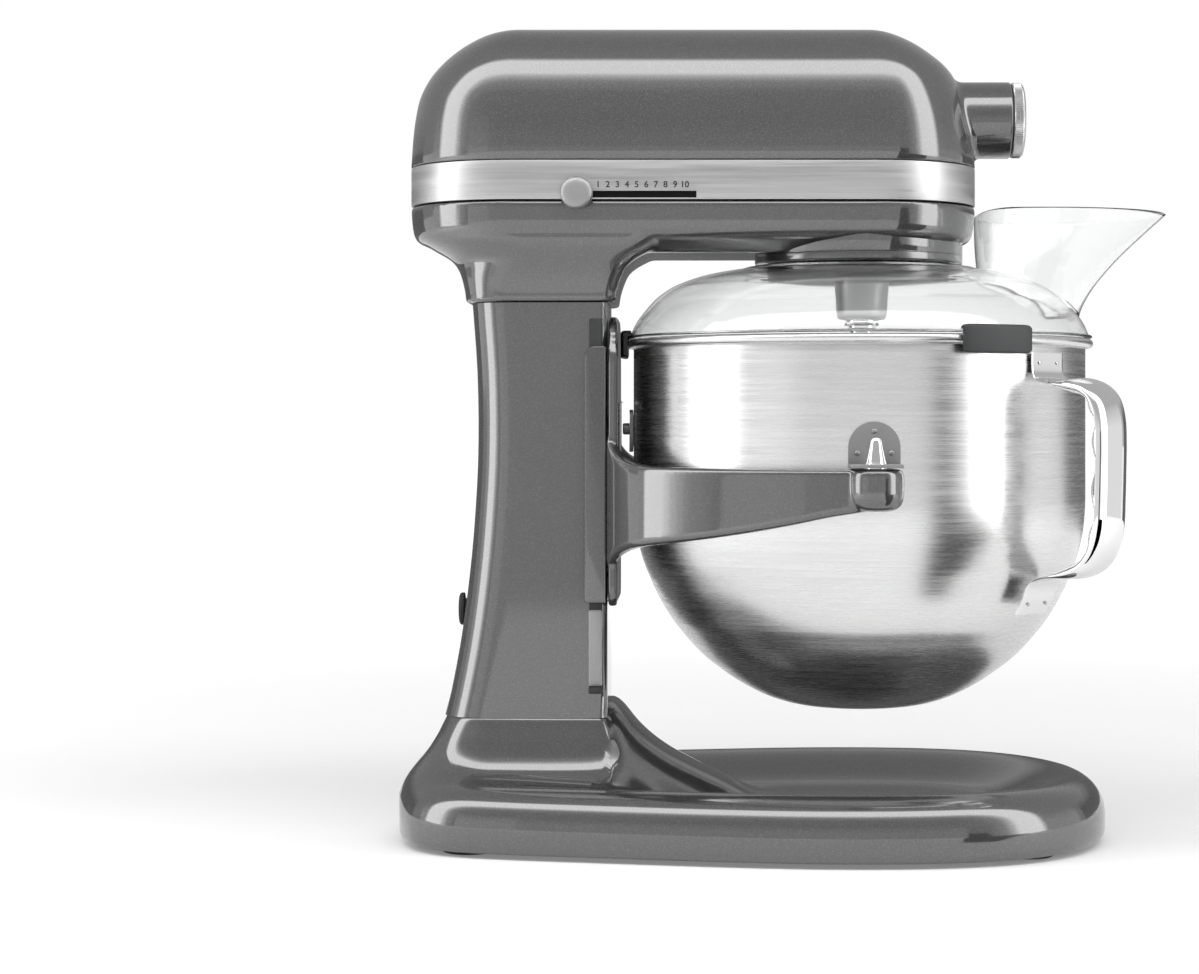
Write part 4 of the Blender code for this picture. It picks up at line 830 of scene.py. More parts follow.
def planetary():
    at = (BOWL_X, 0.0, 0.0)
    nose = [(50.0, 301.7), (54.1, 301.7), (54.1, 298.7), (53.9, 297.9), (53.2, 297.4), (49.2, 297.4), (48.7, 297.8),
            (48.7, 301.7)]
    mesh = lathe("nose", fillet_loop(nose, 0.3, 2), 160, at, ring=True)
    piece("nose_ring", mesh, "stand", "paint", ["planetary_nose"])
    skirt = [(53.9, 301.8), (54.1, 302.2), (54.1, 309.0), (54.4, 311.0), (53.0, 311.0), (50.2, 311.0), (50.2, 301.8)]
    mesh = lathe("nose_skirt", skirt, 160, at, ring=True)
    piece("nose_cylinder", mesh, "stand", "paint")
    disc = [(0.0, 296.9), (46.6, 296.9), (47.6, 296.6), (47.9, 295.9), (47.7, 294.8), (46.9, 293.4), (45.2, 292.2),
            (42.6, 291.4), (38.0, 291.05), (30.0, 291.0), (0.0, 291.0)]
    body = lathe("disc", [disc[0]] + smooth(disc[1:10], 4) + disc[10:], 128, at)
    boss = [(0.0, 294.0), (17.4, 294.0), (16.2, 291.2), (15.0, 290.2), (14.2, 288.6), (13.8, 286.0), (13.4, 280.0),
            (13.1, 274.0), (12.9, 271.0), (12.4, 269.4), (11.4, 268.6), (9.0, 268.4), (6.7, 268.4), (6.7, 280.0),
            (0.0, 280.0)]
    boss = [boss[0], boss[1]] + smooth(boss[2:12], 3) + boss[12:]
    body = boolean(body, lathe("boss", boss, 96, (BOWL_X, BOSS_Y, 0.0)), "UNION")
    piece("planetary_plate", body, "planetary", "planet_metal", ["planetary_disc"], 40.0)
    at = (BOWL_X, BOSS_Y, 0.0)
    shaft = [(0.0, 280.0), (6.3, 280.0), (6.3, 268.0), (8.3, 268.0), (8.9, 267.6), (9.0, 266.6), (8.6, 265.8),
             (7.4, 265.4), (7.4, 263.6), (7.0, 263.1), (6.35, 263.0), (6.35, 230.0), (6.1, 229.0), (5.4, 228.3),
             (4.6, 228.0), (0.0, 228.0)]
    mesh = lathe("shaft", shaft, 72, at)
    piece("beater_drive_shaft", mesh, "beater_drive", "chrome", ["beater_shaft"])
    pin = [(0.0, 10.6), (1.2, 10.55), (1.55, 10.2), (1.6, 9.7), (1.6, -9.7), (1.55, -10.2), (1.2, -10.55), (0.0, -10.6)]
    mesh = lathe("pin", pin, 32, (BOWL_X, BOSS_Y, 247.0), "X")
    piece("shaft_cross_pin", mesh, "beater_drive", "chrome", ["beater_shaft_pin"])


# ----------------------------------------------------------------- bowl

BOWL = [(117.5, 253.2), (117.5, 235.0), (117.5, 215.0), (117.5, 195.0), (117.5, 175.0), (117.0, 166.0), (115.9, 157.0),
        (112.8, 144.5), (110.4, 138.0), (104.9, 125.6), (97.4, 113.0), (92.6, 107.0), (87.1, 100.5), (80.6, 94.0),
        (73.0, 88.0), (64.0, 81.7), (52.6, 75.4), (43.0, 71.6), (33.5, 69.2), (24.0, 67.9), (14.0, 67.2), (0.0, 67.0)]


def bowl_shape(gap, top, per, steps):
    """A solid in the bowl's shape, larger by a gap, that cuts room for the bowl out of its neighbours."""
    wall = [(r + gap, z) for r, z in reversed(smooth(BOWL, per))]
    return lathe("bowl_shape", [(0.0, 60.0)] + wall + [(top, 262.0), (0.0, 262.0)], steps, (BOWL_X, 0.0, 0.0))


def bowl():
    at = (BOWL_X, 0.0, 0.0)
    wall = 1.0
    outer = smooth(BOWL, 4)
    inner = []
    for i, (r, z) in enumerate(outer):
        d = direction_at(outer, i)
        inner.append((max(0.0, r + d.y * wall), z - d.x * wall))
    roll = []
    for k in range(15):
        a = math.radians(-150.0 + 300.0 * k / 14)
        roll.append((119.1 + 2.35 * math.cos(a), 256.0 + 2.35 * math.sin(a)))
    profile = list(reversed(outer)) + roll + inner[1:]
    mesh = lathe("bowl", profile, 192, at)
    piece("bowl_shell", mesh, "bowl_carriage", "brushed_steel", ["mixing_bowl"], 60.0)


BOWL_SKIN = 118.5  # radius that a bracket's width is measured along


def wrapped(outline, radii, turn):
    """A plate of (width, height) outline bent round the bowl between two radii."""
    return loft("plate", [[(BOWL_X + r * math.cos(turn + u / BOWL_SKIN), r * math.sin(turn + u / BOWL_SKIN), z)
                           for u, z in outline] for r in radii])


def stood_on(mesh, centre, out):
    """A small turned mesh moved to a point, with its axis pointing out."""
    mesh.transform(Matrix.Translation(Vector(centre) * MM) @ out.to_track_quat("Z", "Y").to_matrix().to_4x4())
    return mesh


def brackets():
    for side, tag in ((-1, "left"), (1, "right")):
        half, low, middle = 12.5, 193.6, 203.1
        turn = math.radians(90.0 * side)
        outline = [(-half, low)]
        for k in range(25):
            a = math.radians(180.0 - 180.0 * k / 24)
            outline.append((half * math.cos(a), middle + half * math.sin(a)))
        plate = wrapped(outline + [(half, low)], (118.0, 119.6), turn)
        y0, y1 = sorted((side * 118.3, side * 141.6))
        shelf = boolean(box_mesh((BOWL_X - half, y0, low), (BOWL_X + half, y1, 195.4), 0.5),
                        lathe("hole", [(0.0, 190.0), (5.7, 190.0), (5.7, 200.0), (0.0, 200.0)], 48,
                              (BOWL_X, side * PIN_Y, 0.0)))
        meshes = [plate, shelf]
        for u, z in ((-8.2, 200.6), (0.0, 211.2), (8.2, 200.6)):
            a = turn + u / BOWL_SKIN
            dome = [(0.0, 0.7), (0.55, 0.66), (1.0, 0.45), (1.3, 0.1), (1.35, -0.4), (0.0, -0.4)]
            centre = (BOWL_X + 119.6 * math.cos(a), 119.6 * math.sin(a), z)
            meshes.append(stood_on(lathe("rivet", dome, 20), centre, Vector((math.cos(a), math.sin(a), 0.0))))
        mesh = join("bracket", meshes)
        piece(f"bowl_side_bracket_{tag}", mesh, "bowl_carriage", "bracket_steel",
              [f"bowl_bracket_{tag}"], 40.0)
        pin = [(0.0, 208.0), (1.3, 207.9), (2.1, 207.4), (2.6, 206.4), (3.2, 203.6), (4.0, 199.6), (4.8, 196.4),
               (5.2, 195.2), (5.2, 193.2), (0.0, 193.2)]
        mesh = lathe("cone", [pin[0]] + smooth(pin[1:9], 4) + [pin[9]], 64, (BOWL_X, side * PIN_Y, 0.0))
        piece(f"locating_pin_{tag}", mesh, "bowl_carriage", "chrome", [f"bowl_pin_{tag}"])


def handle_point(r, t, z):
    c, s = math.cos(HANDLE_AZIMUTH), math.sin(HANDLE_AZIMUTH)
    return (BOWL_X + r * c - t * s, r * s + t * c, z)


def handle():
    """Strap handle: a crowned steel strip bent out and down, with finger waves on its inner face."""
    path = [(118.6, 249.6), (118.6, 243.0), (119.4, 238.6), (122.6, 235.8), (129.0, 234.4), (138.0, 233.4),
            (146.0, 231.4), (152.0, 226.0), (154.8, 217.0), (155.4, 206.0), (155.2, 192.0), (154.8, 178.0),
            (154.0, 164.0), (151.0, 152.6), (145.0, 145.4), (136.0, 141.6), (127.0, 139.6), (119.6, 137.6),
            (114.9, 133.4), (112.6, 127.6), (108.6, 120.6)]
    fine = smooth(path, 6)
    rings = []
    total = len(fine)
    for i, (r, z) in enumerate(fine):
        d = direction_at(fine, i)
        n = Vector((d.y, -d.x))
        if n.x < 0 and i > total * 0.2:
            n = -n
        s = i / (total - 1)  # 0 at the rim's end, 1 at the lower end
        strap = ease(0.17, 0.27, s) * (1.0 - ease(0.72, 0.82, s))
        half = 0.7 + 3.3 * strap
        wide = 13.6 - 0.6 * strap
        grip = ease(0.3, 0.38, s) * (1.0 - ease(0.6, 0.68, s))
        wave = 1.1 * math.sin((s - 0.3) * 2.0 * math.pi / 0.085) * grip
        row = []
        for k in range(32):
            t = 2.0 * math.pi * k / 32
            u = abs(math.cos(t))**(0.45 + 0.4 * strap) * math.copysign(1.0, math.cos(t)) * wide
            v = abs(math.sin(t))**(0.75 + 0.2 * strap) * math.copysign(1.0, math.sin(t)) * half
            if v < 0:
                v += wave
            p = Vector((r, z)) + n * v
            row.append(handle_point(p.x, u, p.y))
        rings.append(row)
    mesh = loft("handle", rings)
    mesh = boolean(mesh, bowl_shape(0.25, 117.75, 3, 128))
    piece("bowl_grip", mesh, "bowl_carriage", "chrome", ["bowl_handle"], 40.0)
    spots = []
    for t in (-7.5, 7.5):
        for r, z in ((119.7, 244.6), (112.9, 125.2)):
            fall = 0.0 if z > 200 else -400.0
            out = Vector(handle_point(1000.0, 0.0, fall)) - Vector(handle_point(0.0, 0.0, 0.0))
            dome = [(0.0, 0.35), (0.5, 0.3), (0.9, 0.05), (0.95, -0.3), (0.0, -0.3)]
            spots.append(stood_on(lathe("spot", dome, 16), handle_point(r, t, z), out))
    piece("handle_weld_spots", join("spots", spots), "bowl_carriage", "steel")


def rear_catch():
    outline = fillet_loop([(-10.0, 200.0), (10.0, 200.0), (10.0, 222.0), (-10.0, 222.0)], 5.0, 6)
    pin = [(0.0, -80.6), (3.0, -80.6), (3.0, -83.2), (2.9, -83.7), (2.4, -84.1), (0.0, -84.1)]
    mesh = join("rear", [wrapped(outline, (118.1, 119.8), math.pi), lathe("pin", pin, 40, (0.0, 0.0, 212.0), "X")])
    piece("bowl_rear_catch", mesh, "bowl_carriage", "satin_metal", ["bowl_rear_bracket"])
    outline = [(-85.7, 194.4), (-84.9, 194.4), (-84.9, 225.0), (-84.2, 226.0), (-84.8, 226.4), (-85.7, 225.2)]
    mesh = prism("latch", outline, -9.0, 9.0, "XZ", 0.2)
    piece("spring_latch", mesh, "bowl_carriage", "steel", ["bowl_spring_latch"])


# ----------------------------------------------------------------- yoke

ARM = [(-92.0, 40.0, 137.0, 217.0, 3.0), (-89.0, 49.0, 143.0, 207.0, 5.0), (-84.5, 57.0, 148.5, 199.5, 8.0),
       (-78.0, 67.0, 152.0, 195.6, 9.0), (-70.0, 78.5, 154.0, 194.0, 9.0), (-60.0, 87.4, 155.6, 193.4, 9.0),
       (-40.0, 101.0, 158.6, 193.1, 9.0), (-20.0, 112.4, 162.0, 193.0, 9.2), (0.0, 122.4, 166.0, 193.0, 9.6),
       (18.0, 128.0, 170.0, 193.0, 10.6), (30.0, 129.4, 172.0, 193.0, 11.4), (BOWL_X, PIN_Y - 0.3, 173.4, 192.8, 12.0)]


def arm_mesh(side):
    """One arm, as a rounded bar of changing height and thickness swept along its path."""
    fine = smooth(ARM, 6)
    path = [row[:2] for row in fine]
    rings = []
    for i, (x, y, low, high, thick) in enumerate(fine):
        d = direction_at(path, i)
        n = Vector((-d.y, d.x))
        h = thick / 2.0
        c = min(2.6, h * 0.8)
        row = []
        for u, v, a0 in ((h - c, high - c, 0), (c - h, high - c, 90),
                         (c - h, low + c, 180), (h - c, low + c, 270)):
            for k in range(5):
                t = math.radians(a0 + 22.5 * k)
                w = u + c * math.cos(t)
                row.append((x + n.x * w, side * (y + n.y * w), v + c * math.sin(t)))
        rings.append(row)
    return loft("arm", rings)


def yoke():
    outline = fillet_loop([(-46.0, 122.0), (46.0, 122.0), (50.2, 127.0), (50.2, 250.0), (40.0, 266.0), (28.0, 269.6),
                           (-28.0, 269.6), (-40.0, 266.0), (-50.2, 250.0), (-50.2, 127.0)], 5.0, 4)
    body = prism("plate", outline, COLUMN_FRONT + 0.5, -86.0, "YZ", 0.8)
    for side in (-1, 1):
        low, high = sorted((side * 47.3, side * 50.3))
        flange = fillet_loop([(-102.7, 124.0), (-91.4, 124.0), (-91.4, 254.0), (-99.4, 254.0), (-102.7, 250.0)],
                             [2.0, 1.6, 1.6, 2.0, 2.0], 4)
        tag = "left" if side < 0 else "right"
        piece(f"yoke_flange_{tag}", prism("flange", flange, low, high, "XZ", 1.2), "bowl_carriage", "paint")
        body = boolean(body, arm_mesh(side), "UNION")
        knob = [(0.0, 193.0), (10.6, 193.0), (12.2, 192.5), (13.1, 191.4), (13.45, 189.6), (13.45, 182.0),
                (13.1, 178.6), (12.0, 175.8), (10.2, 174.0), (7.6, 173.0), (4.0, 172.65), (0.0, 172.6)]
        knob = [knob[0]] + smooth(knob[1:], 3)
        body = boolean(body, lathe("knob", knob, 72, (BOWL_X, side * PIN_Y, 0.0)), "UNION")
    body = boolean(body, bowl_shape(1.6, 119.1, 2, 96))
    obj = piece("yoke_carriage", body, "bowl_carriage", "paint", ["bowl_lift_yoke"], 40.0)
    soften(obj, 0.0010, 5)
    lug = box_mesh((-149.0, -6.0, 197.5), (-92.0, 6.0, 214.5), 0.6)
    slot = box_mesh((-144.8, -9.0, 201.9), (-127.5, 9.0, 210.1), 0.0)
    piece("lift_lug", boolean(lug, slot), "bowl_carriage", "iron")


def rails():
    for side, tag in ((-1, "left"), (1, "right")):
        low, high = sorted((side * (COLUMN_HALF + 0.3), side * 46.6))
        outline = fillet_loop([(-100.2, 80.0), (-93.6, 80.0), (-93.6, 268.0), (-100.2, 268.0)], 0.8, 3)
        strip = prism("rail", outline, low, high, "XZ", 0.5)
        low, high = sorted((side * (COLUMN_HALF + 0.3), side * 46.95))
        lower = fillet_loop([(-100.6, 81.5), (-93.4, 81.5), (-93.4, 120.5), (-100.6, 120.5)], 1.6, 5)
        guide = prism("guide", lower, low, high, "XZ", 0.7)
        piece(f"guide_rail_{tag}", strip, "stand", "dark_plastic", [f"slide_rail_{tag}"])
        piece(f"guide_strip_{tag}", guide, "stand", "satin_metal")
        low, high = sorted((side * (COLUMN_HALF + 0.3), side * 49.8))
        end = fillet_loop([(-100.4, 78.2), (-93.5, 78.2), (-93.5, 81.3), (-100.4, 81.3)], 0.6, 3)
        piece(f"rail_end_stop_{tag}", prism("stop", end, low, high, "XZ", 0.5), "stand", "dark_plastic")


# ----------------------------------------------------------------- shield

def shield():
    at = (BOWL_X, 0.0, 0.0)
    outer = [(119.2, 260.3), (118.4, 262.4), (116.9, 265.6), (114.9, 269.0), (111.0, 274.0), (106.0, 279.5),
             (99.0, 284.7), (93.0, 287.6), (86.6, 290.0), (80.6, 291.7), (74.6, 293.0), (66.0, 294.4), (60.4, 295.3)]
    fine = smooth(outer, 4)
    wall = 1.5
    inner = []
    for i, (r, z) in enumerate(fine):
        d = direction_at(fine, i)
        inner.append((r - abs(d.y) * wall, z - abs(d.x) * wall))
    foot = [(117.2, 259.0), (120.2, 258.8), (120.9, 259.1), (121.0, 259.6), (120.6, 260.1)]
    edge = [(59.6, 295.9), (58.9, 295.6), (58.9, 294.4)]
    profile = foot + fine + edge + list(reversed(inner))
    mesh = lathe("dome", profile, 192, at, ring=True)
    cut = []
    for k in range(33):
        a = math.radians(-20.0 + 40.0 * k / 32)
        cut.append([(BOWL_X + r * math.cos(a), r * math.sin(a), z)
                    for r, z in ((72.0, 262.0), (111.0, 262.0), (111.0, 300.0), (72.0, 300.0))])
    mesh = boolean(mesh, loft("opening", cut))
    piece("splash_shield", mesh, "bowl_carriage", "clear_plastic", ["pouring_shield"], 50.0)

    levels = [(262.6, 112.0, 152.6, 33.0), (268.0, 109.6, 153.6, 34.6), (275.0, 107.0, 155.6, 36.8),
              (284.0, 104.4, 160.6, 40.0), (292.0, 102.8, 166.8, 43.0), (300.0, 101.8, 174.0, 46.0),
              (308.0, 101.2, 182.2, 49.0), (316.0, 100.9, 191.0, 52.0), (321.0, 100.8, 196.6, 53.8),
              (323.4, 100.8, 199.2, 54.8)]
    fine = smooth(levels, 4)
    rings = [chute_ring(b, t, h, z) for z, b, t, h in fine]
    inner = [chute_ring(b + 1.7, t - 1.7, h - 1.7, z) for z, b, t, h in fine]
    z, b, t, h = fine[-1]
    lip = [chute_ring(b + 0.8, t - 0.8, h - 0.8, z + 0.5)]
    mesh = loft("chute", rings + lip + inner[::-1], closed=True)
    over = [(r + 0.35, z + 0.35) for r, z in smooth(outer, 4)]
    under = [(0.0, 250.0), (121.4, 250.0), (121.4, 260.7)] + over + [(58.0, 296.4), (0.0, 296.4)]
    mesh = boolean(mesh, lathe("under", under, 160, at))
    piece("pouring_spout", mesh, "bowl_carriage", "clear_plastic", ["pouring_chute"], 50.0)


def chute_ring(back, tip, half, z):
    """A spoon-shaped outline: nearly flat behind and drawn out to a round spout in front."""
    points = []
    mid = back + (tip - back) * 0.32
    front_steps, back_steps = 72, 24
    for i in range(front_steps + 1):
        a = math.radians(-90.0 + 180.0 * i / front_steps)
        points.append((mid + (tip - mid) * math.cos(a), half * math.sin(a), z))
    for i in range(1, back_steps):
        a = math.radians(90.0 + 180.0 * i / back_steps)
        c = -abs(math.cos(a))**0.35
        points.append((mid + (mid - back) * c, half * math.sin(a), z))
    return points


def clips():
    loop = fillet_loop([(122.0, 248.8), (124.3, 248.8), (124.4, 262.9), (119.7, 262.9), (119.7, 261.3), (121.9, 261.3)],
                       [0.9, 1.2, 1.6, 0.6, 0.2, 0.2], 4)
    mid_r, mid_z = 122.0, 255.8
    steps = 28
    for tag, az in (("rear", 180.0), ("left", -60.0), ("right", 60.0)):
        rows = []
        for k in range(steps + 1):
            s = 2.0 * k / steps - 1.0
            a = math.radians(az + 9.4 * math.copysign(abs(s)**0.8, s))
            pinch = 1.0 - 0.16 * abs(s)**14
            rows.append([(BOWL_X + (mid_r + (r - mid_r) * pinch) * math.cos(a),
                          (mid_r + (r - mid_r) * pinch) * math.sin(a), mid_z + (z - mid_z) * pinch)
                         for r, z in loop])
        mesh = loft("clip", rows)
        piece(f"rim_clip_{tag}", mesh, "bowl_carriage", "dark_plastic",
              [f"shield_clip_{tag}"], 40.0)


# ----------------------------------------------------------------- lever, feet, cable gland

def lever():
    at_x, at_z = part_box("lift_shaft")[0][0] / MM + 6.0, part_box("lift_shaft")[0][2] / MM + 6.0
    rows = [(-11.0, 3.0, 1.6, 53.5), (-10.0, 6.4, 2.6, 53.5), (-7.0, 9.4, 3.3, 53.5), (0.0, 11.0, 3.6, 53.5),
            (9.0, 9.6, 3.4, 53.7), (24.0, 7.0, 3.2, 54.6), (44.0, 6.6, 3.6, 56.4), (58.0, 8.4, 4.6, 57.6),
            (70.0, 9.4, 5.2, 58.2), (78.0, 8.0, 4.4, 58.2), (82.0, 4.6, 2.8, 58.2), (83.0, 1.5, 1.0, 58.2)]
    rings = []
    for z, half, thick, y in smooth(rows, 5):
        ring = []
        for k in range(40):
            a = 2.0 * math.pi * k / 40
            ring.append((at_x + half * math.cos(a), y + thick * math.sin(a), at_z + z))
        rings.append(ring)
    mesh = loft("lever", rings)
    cap = lathe("cap", [(0.0, 59.2), (5.0, 59.1), (6.6, 58.6), (7.0, 57.6), (7.0, 55.0), (0.0, 55.0)], 48,
                (at_x, 0.0, at_z), "Y")
    piece("bowl_lift_lever", mesh, "lift_handle", "paint", ["lift_lever"], 50.0)
    piece("lever_cap", cap, "lift_handle", "satin_metal")


def feet():
    for tag in ("front_left", "front_right", "rear_left", "rear_right"):
        low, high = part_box("foot_" + tag)
        x, y = (low[0] + high[0]) / 2.0 / MM, (low[1] + high[1]) / 2.0 / MM
        foot = [(0.0, 9.0), (4.0, 9.0), (4.0, 3.1), (12.6, 3.1), (13.6, 2.8), (14.0, 2.0), (13.8, 1.0), (13.0, 0.3),
                (12.2, 0.0), (9.0, 0.0), (8.6, 0.6), (5.0, 0.6), (4.6, 0.0), (0.0, 0.0)]
        piece("rubber_foot_" + tag, lathe("foot", foot, 64, (x, y, 0.0)), "stand", "rubber",
              ["foot_" + tag])


def gland():
    low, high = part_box("cord_gland")
    z = (low[2] + high[2]) / 2.0 / MM
    back = low[0] / MM
    ring = [(2.6, back + 11.0), (5.6, back + 11.0), (5.6, back + 3.0), (8.5, back + 3.0), (8.5, back + 1.2),
            (7.6, back + 0.3), (6.0, back), (3.4, back), (2.8, back + 0.5)]
    mesh = lathe("gland", fillet_loop(ring, 0.4, 3), 64, (0.0, 0.0, z), "X", ring=True)
    piece("cable_gland", mesh, "stand", "rubber", ["cord_gland"])


def carried_over():
    """CAD nodes that keep their own shape get the finish of their slot."""
    for row in frame["record"]["subparts"]:
        obj = frame["nodes"][row["node"]]
        obj.data.materials.clear()
        obj.data.materials.append(MATERIALS[row["material_slot"]])


# ----------------------------------------------------------------- studio

def area_light(name, place, aim, size, power):
    """A soft light that lights surfaces but isn't mirrored in them."""
    light = bpy.data.lights.new(name, "AREA")
    light.shape = "RECTANGLE"
    light.size, light.size_y = size
    light.energy = power
    obj = add_object(name, light)
    obj.location = place
    obj.rotation_euler = (Vector(aim) - Vector(place)).to_track_quat("-Z", "Y").to_euler()
    obj.visible_glossy = False


FELT = 0.48  # strength of the surroundings, apart from the studio surfaces


def reflected(name, verts, faces, strength, fade=()):
    """A studio surface that only shows in reflections. fade, per point, runs from the surroundings' 0 to 1."""
    mesh = bpy.data.meshes.new(name)
    mesh.from_pydata(verts, [], faces)
    m = Nodes(name)
    m.set(Base_Color=grey(0.0), Roughness=1.0, Specular_IOR_Level=0.0, Emission_Color=grey(1.0))
    if fade:
        mesh.attributes.new("fade", "FLOAT", "POINT").data.foreach_set("value", fade)
        share = m.add("ShaderNodeAttribute", attribute_name="fade")
        m.link(m.spread(share.outputs["Fac"], 0.0, 1.0, FELT, strength), m.shader.inputs["Emission Strength"])
    else:
        m.set(Emission_Strength=strength)
    mesh.materials.append(m.material)
    obj = add_object(name, mesh)
    obj.visible_camera = False
    obj.visible_diffuse = False
    obj.visible_transmission = False
    obj.visible_shadow = False


def sheet_faces(columns, rows):
    """Faces of a sheet whose points come column by column."""
    return [(rows * k + j, rows * (k + 1) + j, rows * (k + 1) + j + 1, rows * k + j + 1)
            for k in range(columns - 1) for j in range(rows - 1)]


def card(name, azimuths, heights, distance, strength):
    """An upright card bent round the object. With three heights, it fades out towards the last one."""
    steps = 16
    rows = len(heights)
    verts = []
    for k in range(steps + 1):
        a = azimuths[0] + (azimuths[1] - azimuths[0]) * k / steps
        verts += [around(a, distance, z) for z in heights]
    fade = ([1.0] * (rows - 1) + [0.0]) * (steps + 1) if rows > 2 else ()
    reflected(name, verts, sheet_faces(steps + 1, rows), strength, fade)


def mirrored_way(azimuth, elevation):
    """The direction from which a surface with this normal mirrors light to the camera's side."""
    a, e = math.radians(azimuth), math.radians(elevation)
    n = Vector((math.sin(a) * math.cos(e), -math.cos(a) * math.cos(e), math.sin(e)))
    view = Vector((0.0, -1.0, 0.0))
    return n * (2.0 * n.dot(view)) - view


# the arch lies where surfaces with these normals mirror it to the camera's side, in degrees
ARCH_HALF = 6.0
ARCH_TOP = 27.0
ARCH_PROFILE = [(-2.0, 0.0), (-1.3, 0.12), (-0.9, 0.5), (-0.6, 1.0), (0.85, 1.0), (1.1, 0.35), (1.3, 0.0)]


def arch(strength):
    """One glowing strip from the floor on the left, over the object, to the floor on the right."""
    path = []
    for side, edge, corner in ((-1.0, 39.0, 15.0), (1.0, 33.0, 15.0)):
        leg = [(side * edge, e) for e in (-9.0, -5.0, 0.0, 5.0)]
        bend = []
        for k in range(1, 13):
            t = math.radians(90.0 * k / 12)
            bend.append((side * (corner + (edge - corner) * math.cos(t)**0.9),
                         5.0 + (ARCH_TOP - 5.0) * math.sin(t)**0.9))
        level = [(side * corner * k / 4.0, ARCH_TOP) for k in (3, 2, 1)]
        part = leg + bend + level
        path += part if side < 0 else [(0.0, ARCH_TOP)] + part[::-1]
    verts = []
    for i, (a, e) in enumerate(path):
        d = direction_at(path, i)
        across = Vector((-d.y, d.x)) * ARCH_HALF
        share = min(1.0, max(-1.0, a / 15.0))
        start = Vector((-0.04 + 0.11 * share, -0.04, 0.36))
        for s, _ in ARCH_PROFILE:
            verts.append(start + mirrored_way(a + across.x * s, e + across.y * s) * 1.4)
    reflected("arch_light", verts, sheet_faces(len(path), len(ARCH_PROFILE)), strength,
              [share for _, share in ARCH_PROFILE] * len(path))


def around(azimuth, distance, height):
    """A place round the object: azimuth 0 is the camera's side, positive to the right."""
    a = math.radians(azimuth)
    return (math.sin(a) * distance, -math.cos(a) * distance, height)


def backdrop(scene):
    """White behind the object, and a softer grey for what it mirrors and is lit by."""
    world = bpy.data.worlds.new("studio")
    scene.world = world
    world.use_nodes = True
    tree = world.node_tree
    seen = tree.nodes["Background"]
    seen.inputs["Color"].default_value = (1.0, 1.0, 1.0, 1.0)
    seen.inputs["Strength"].default_value = 1.0
    felt = tree.nodes.new("ShaderNodeBackground")
    felt.inputs["Color"].default_value = (1.0, 1.0, 1.0, 1.0)
    felt.inputs["Strength"].default_value = FELT
    path = tree.nodes.new("ShaderNodeLightPath")
    mix = tree.nodes.new("ShaderNodeMixShader")
    clear = tree.nodes.new("ShaderNodeMath")
    clear.operation = "MAXIMUM"
    tree.links.new(path.outputs["Is Camera Ray"], clear.inputs[0])
    tree.links.new(path.outputs["Is Transmission Ray"], clear.inputs[1])
    tree.links.new(clear.outputs["Value"], mix.inputs["Fac"])
    tree.links.new(felt.outputs["Background"], mix.inputs[1])
    tree.links.new(seen.outputs["Background"], mix.inputs[2])
    tree.links.new(mix.outputs["Shader"], tree.nodes["World Output"].inputs["Surface"])


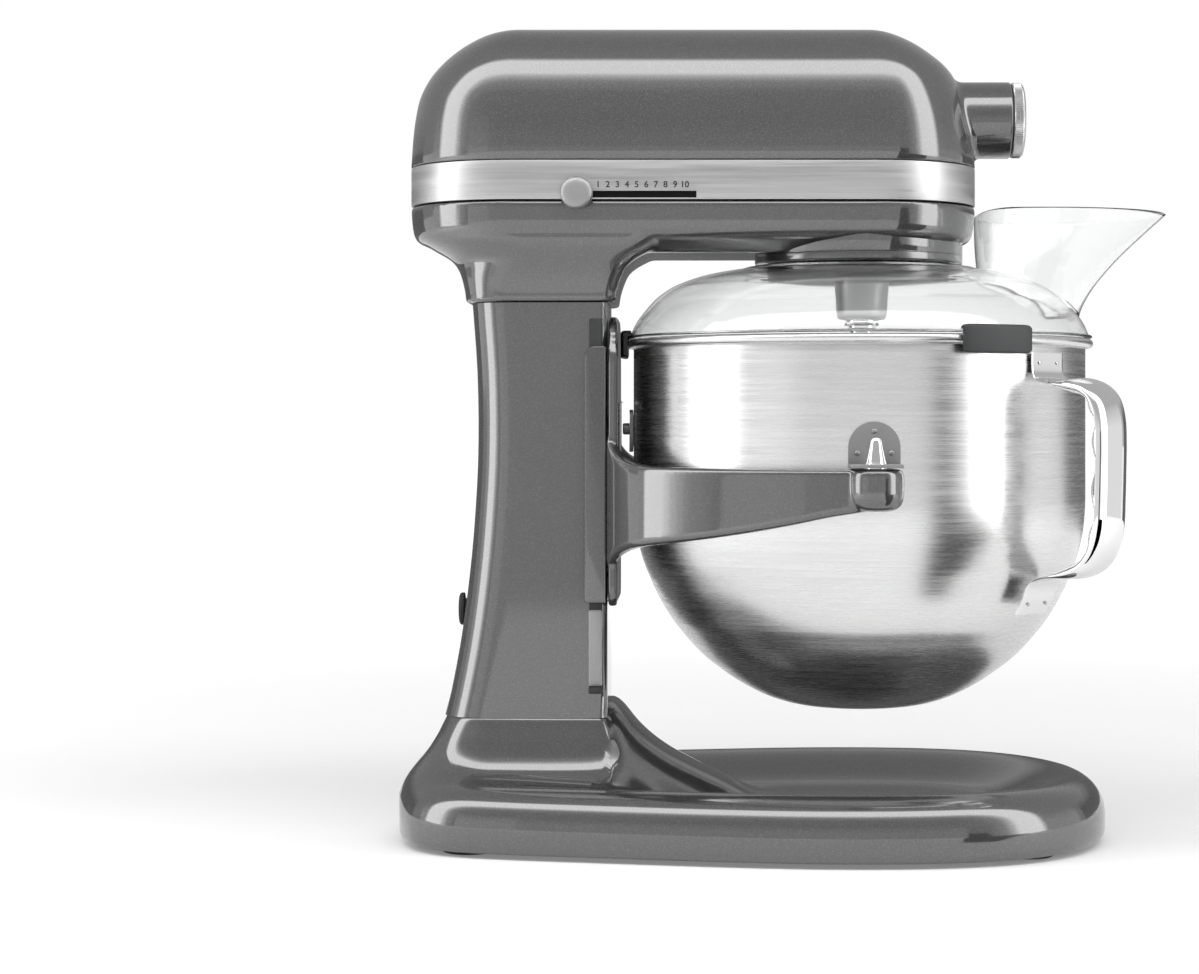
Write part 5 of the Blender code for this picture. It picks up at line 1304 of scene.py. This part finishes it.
def studio():
    scene = bpy.context.scene
    scene.view_settings.view_transform = "Standard"
    backdrop(scene)
    bm = bmesh.new()
    bmesh.ops.create_grid(bm, x_segments=1, y_segments=1, size=20.0)
    mesh = bpy.data.meshes.new("studio_floor")
    bm.to_mesh(mesh)
    bm.free()
    m = Nodes("studio_floor")
    m.link(m.blend(m.noise(3.0), grey(0.62), grey(0.64)), m.shader.inputs["Base Color"])
    place = m.add("ShaderNodeTexCoord")
    reach = m.add("ShaderNodeVectorMath", operation="LENGTH")
    m.link(place.outputs["Object"], reach.inputs[0])
    m.link(m.spread(reach.outputs["Value"], 0.4, 1.7, 0.20, 0.74), m.shader.inputs["Emission Strength"])
    m.set(Roughness=0.9, Emission_Color=grey(1.0))
    mesh.materials.append(m.material)
    add_object("studio_floor", mesh)
    middle = (0.0, 0.0, 0.25)
    shoulder = (0.0, -0.05, 0.39)
    area_light("top_box", (0.0, -0.76, 1.49), shoulder, (1.5, 0.62), 13.0)
    area_light("left_box", around(-78.0, 1.3, 0.80), middle, (0.62, 0.90), 8.5)
    area_light("left_low", around(-78.0, 1.3, 0.16), middle, (0.62, 0.36), 1.7)
    area_light("right_box", around(66.0, 1.3, 0.80), middle, (0.56, 0.90), 7.5)
    area_light("right_low", around(68.0, 1.3, 0.16), middle, (0.50, 0.36), 1.2)
    area_light("left_corner", (-0.81, -0.58, 1.26), shoulder, (0.34, 0.40), 2.0)
    area_light("right_corner", (0.74, -0.67, 1.26), shoulder, (0.26, 0.40), 1.5)
    arch(4.2)
    card("left_fill", (-100.0, -34.0), (0.0, 0.34, 0.9), 1.9, 1.00)
    card("front_fill", (-34.0, 34.0), (0.0, 0.32, 0.8), 1.9, 0.80)
    card("right_fill", (66.0, 112.0), (0.0, 0.34, 0.9), 1.9, 0.85)
    card("back_flag", (118.0, 242.0), (0.0, 0.40, 0.75), 1.9, 0.14)
    card("dark_flag", (33.0, 66.0), (0.0, 0.34), 2.9, 0.0)
    shade = ((33.0, 2.9), (66.0, 2.9), (64.0, 0.8), (33.0, 0.8), (54.0, 0.40), (33.0, 0.40), (44.0, 0.24),
             (34.0, 0.24))
    shade = [around(a, r, 0.003) for a, r in shade]
    reflected("dark_floor", shade, [(0, 1, 2, 3), (3, 2, 4, 5), (5, 4, 6, 7)], 0.0)
    camera = bpy.data.cameras.new("camera")
    camera.sensor_width = 36.0
    camera.lens = 82.6
    camera.shift_x = -0.0671
    camera.shift_y = -0.0517
    camera.clip_start = 0.01
    obj = add_object("camera", camera)
    obj.location = (-0.0542, -1.439, 0.214)
    obj.rotation_euler = (math.radians(90.0), 0.0, 0.0)
    scene.camera = obj


def main():
    for build in (carried_over, pedestal, head, band, digits, speed_knob, hub, planetary, bowl, brackets, handle,
                  rear_catch, yoke, rails, shield, clips, lever, feet, gland, studio):
        build()


main()
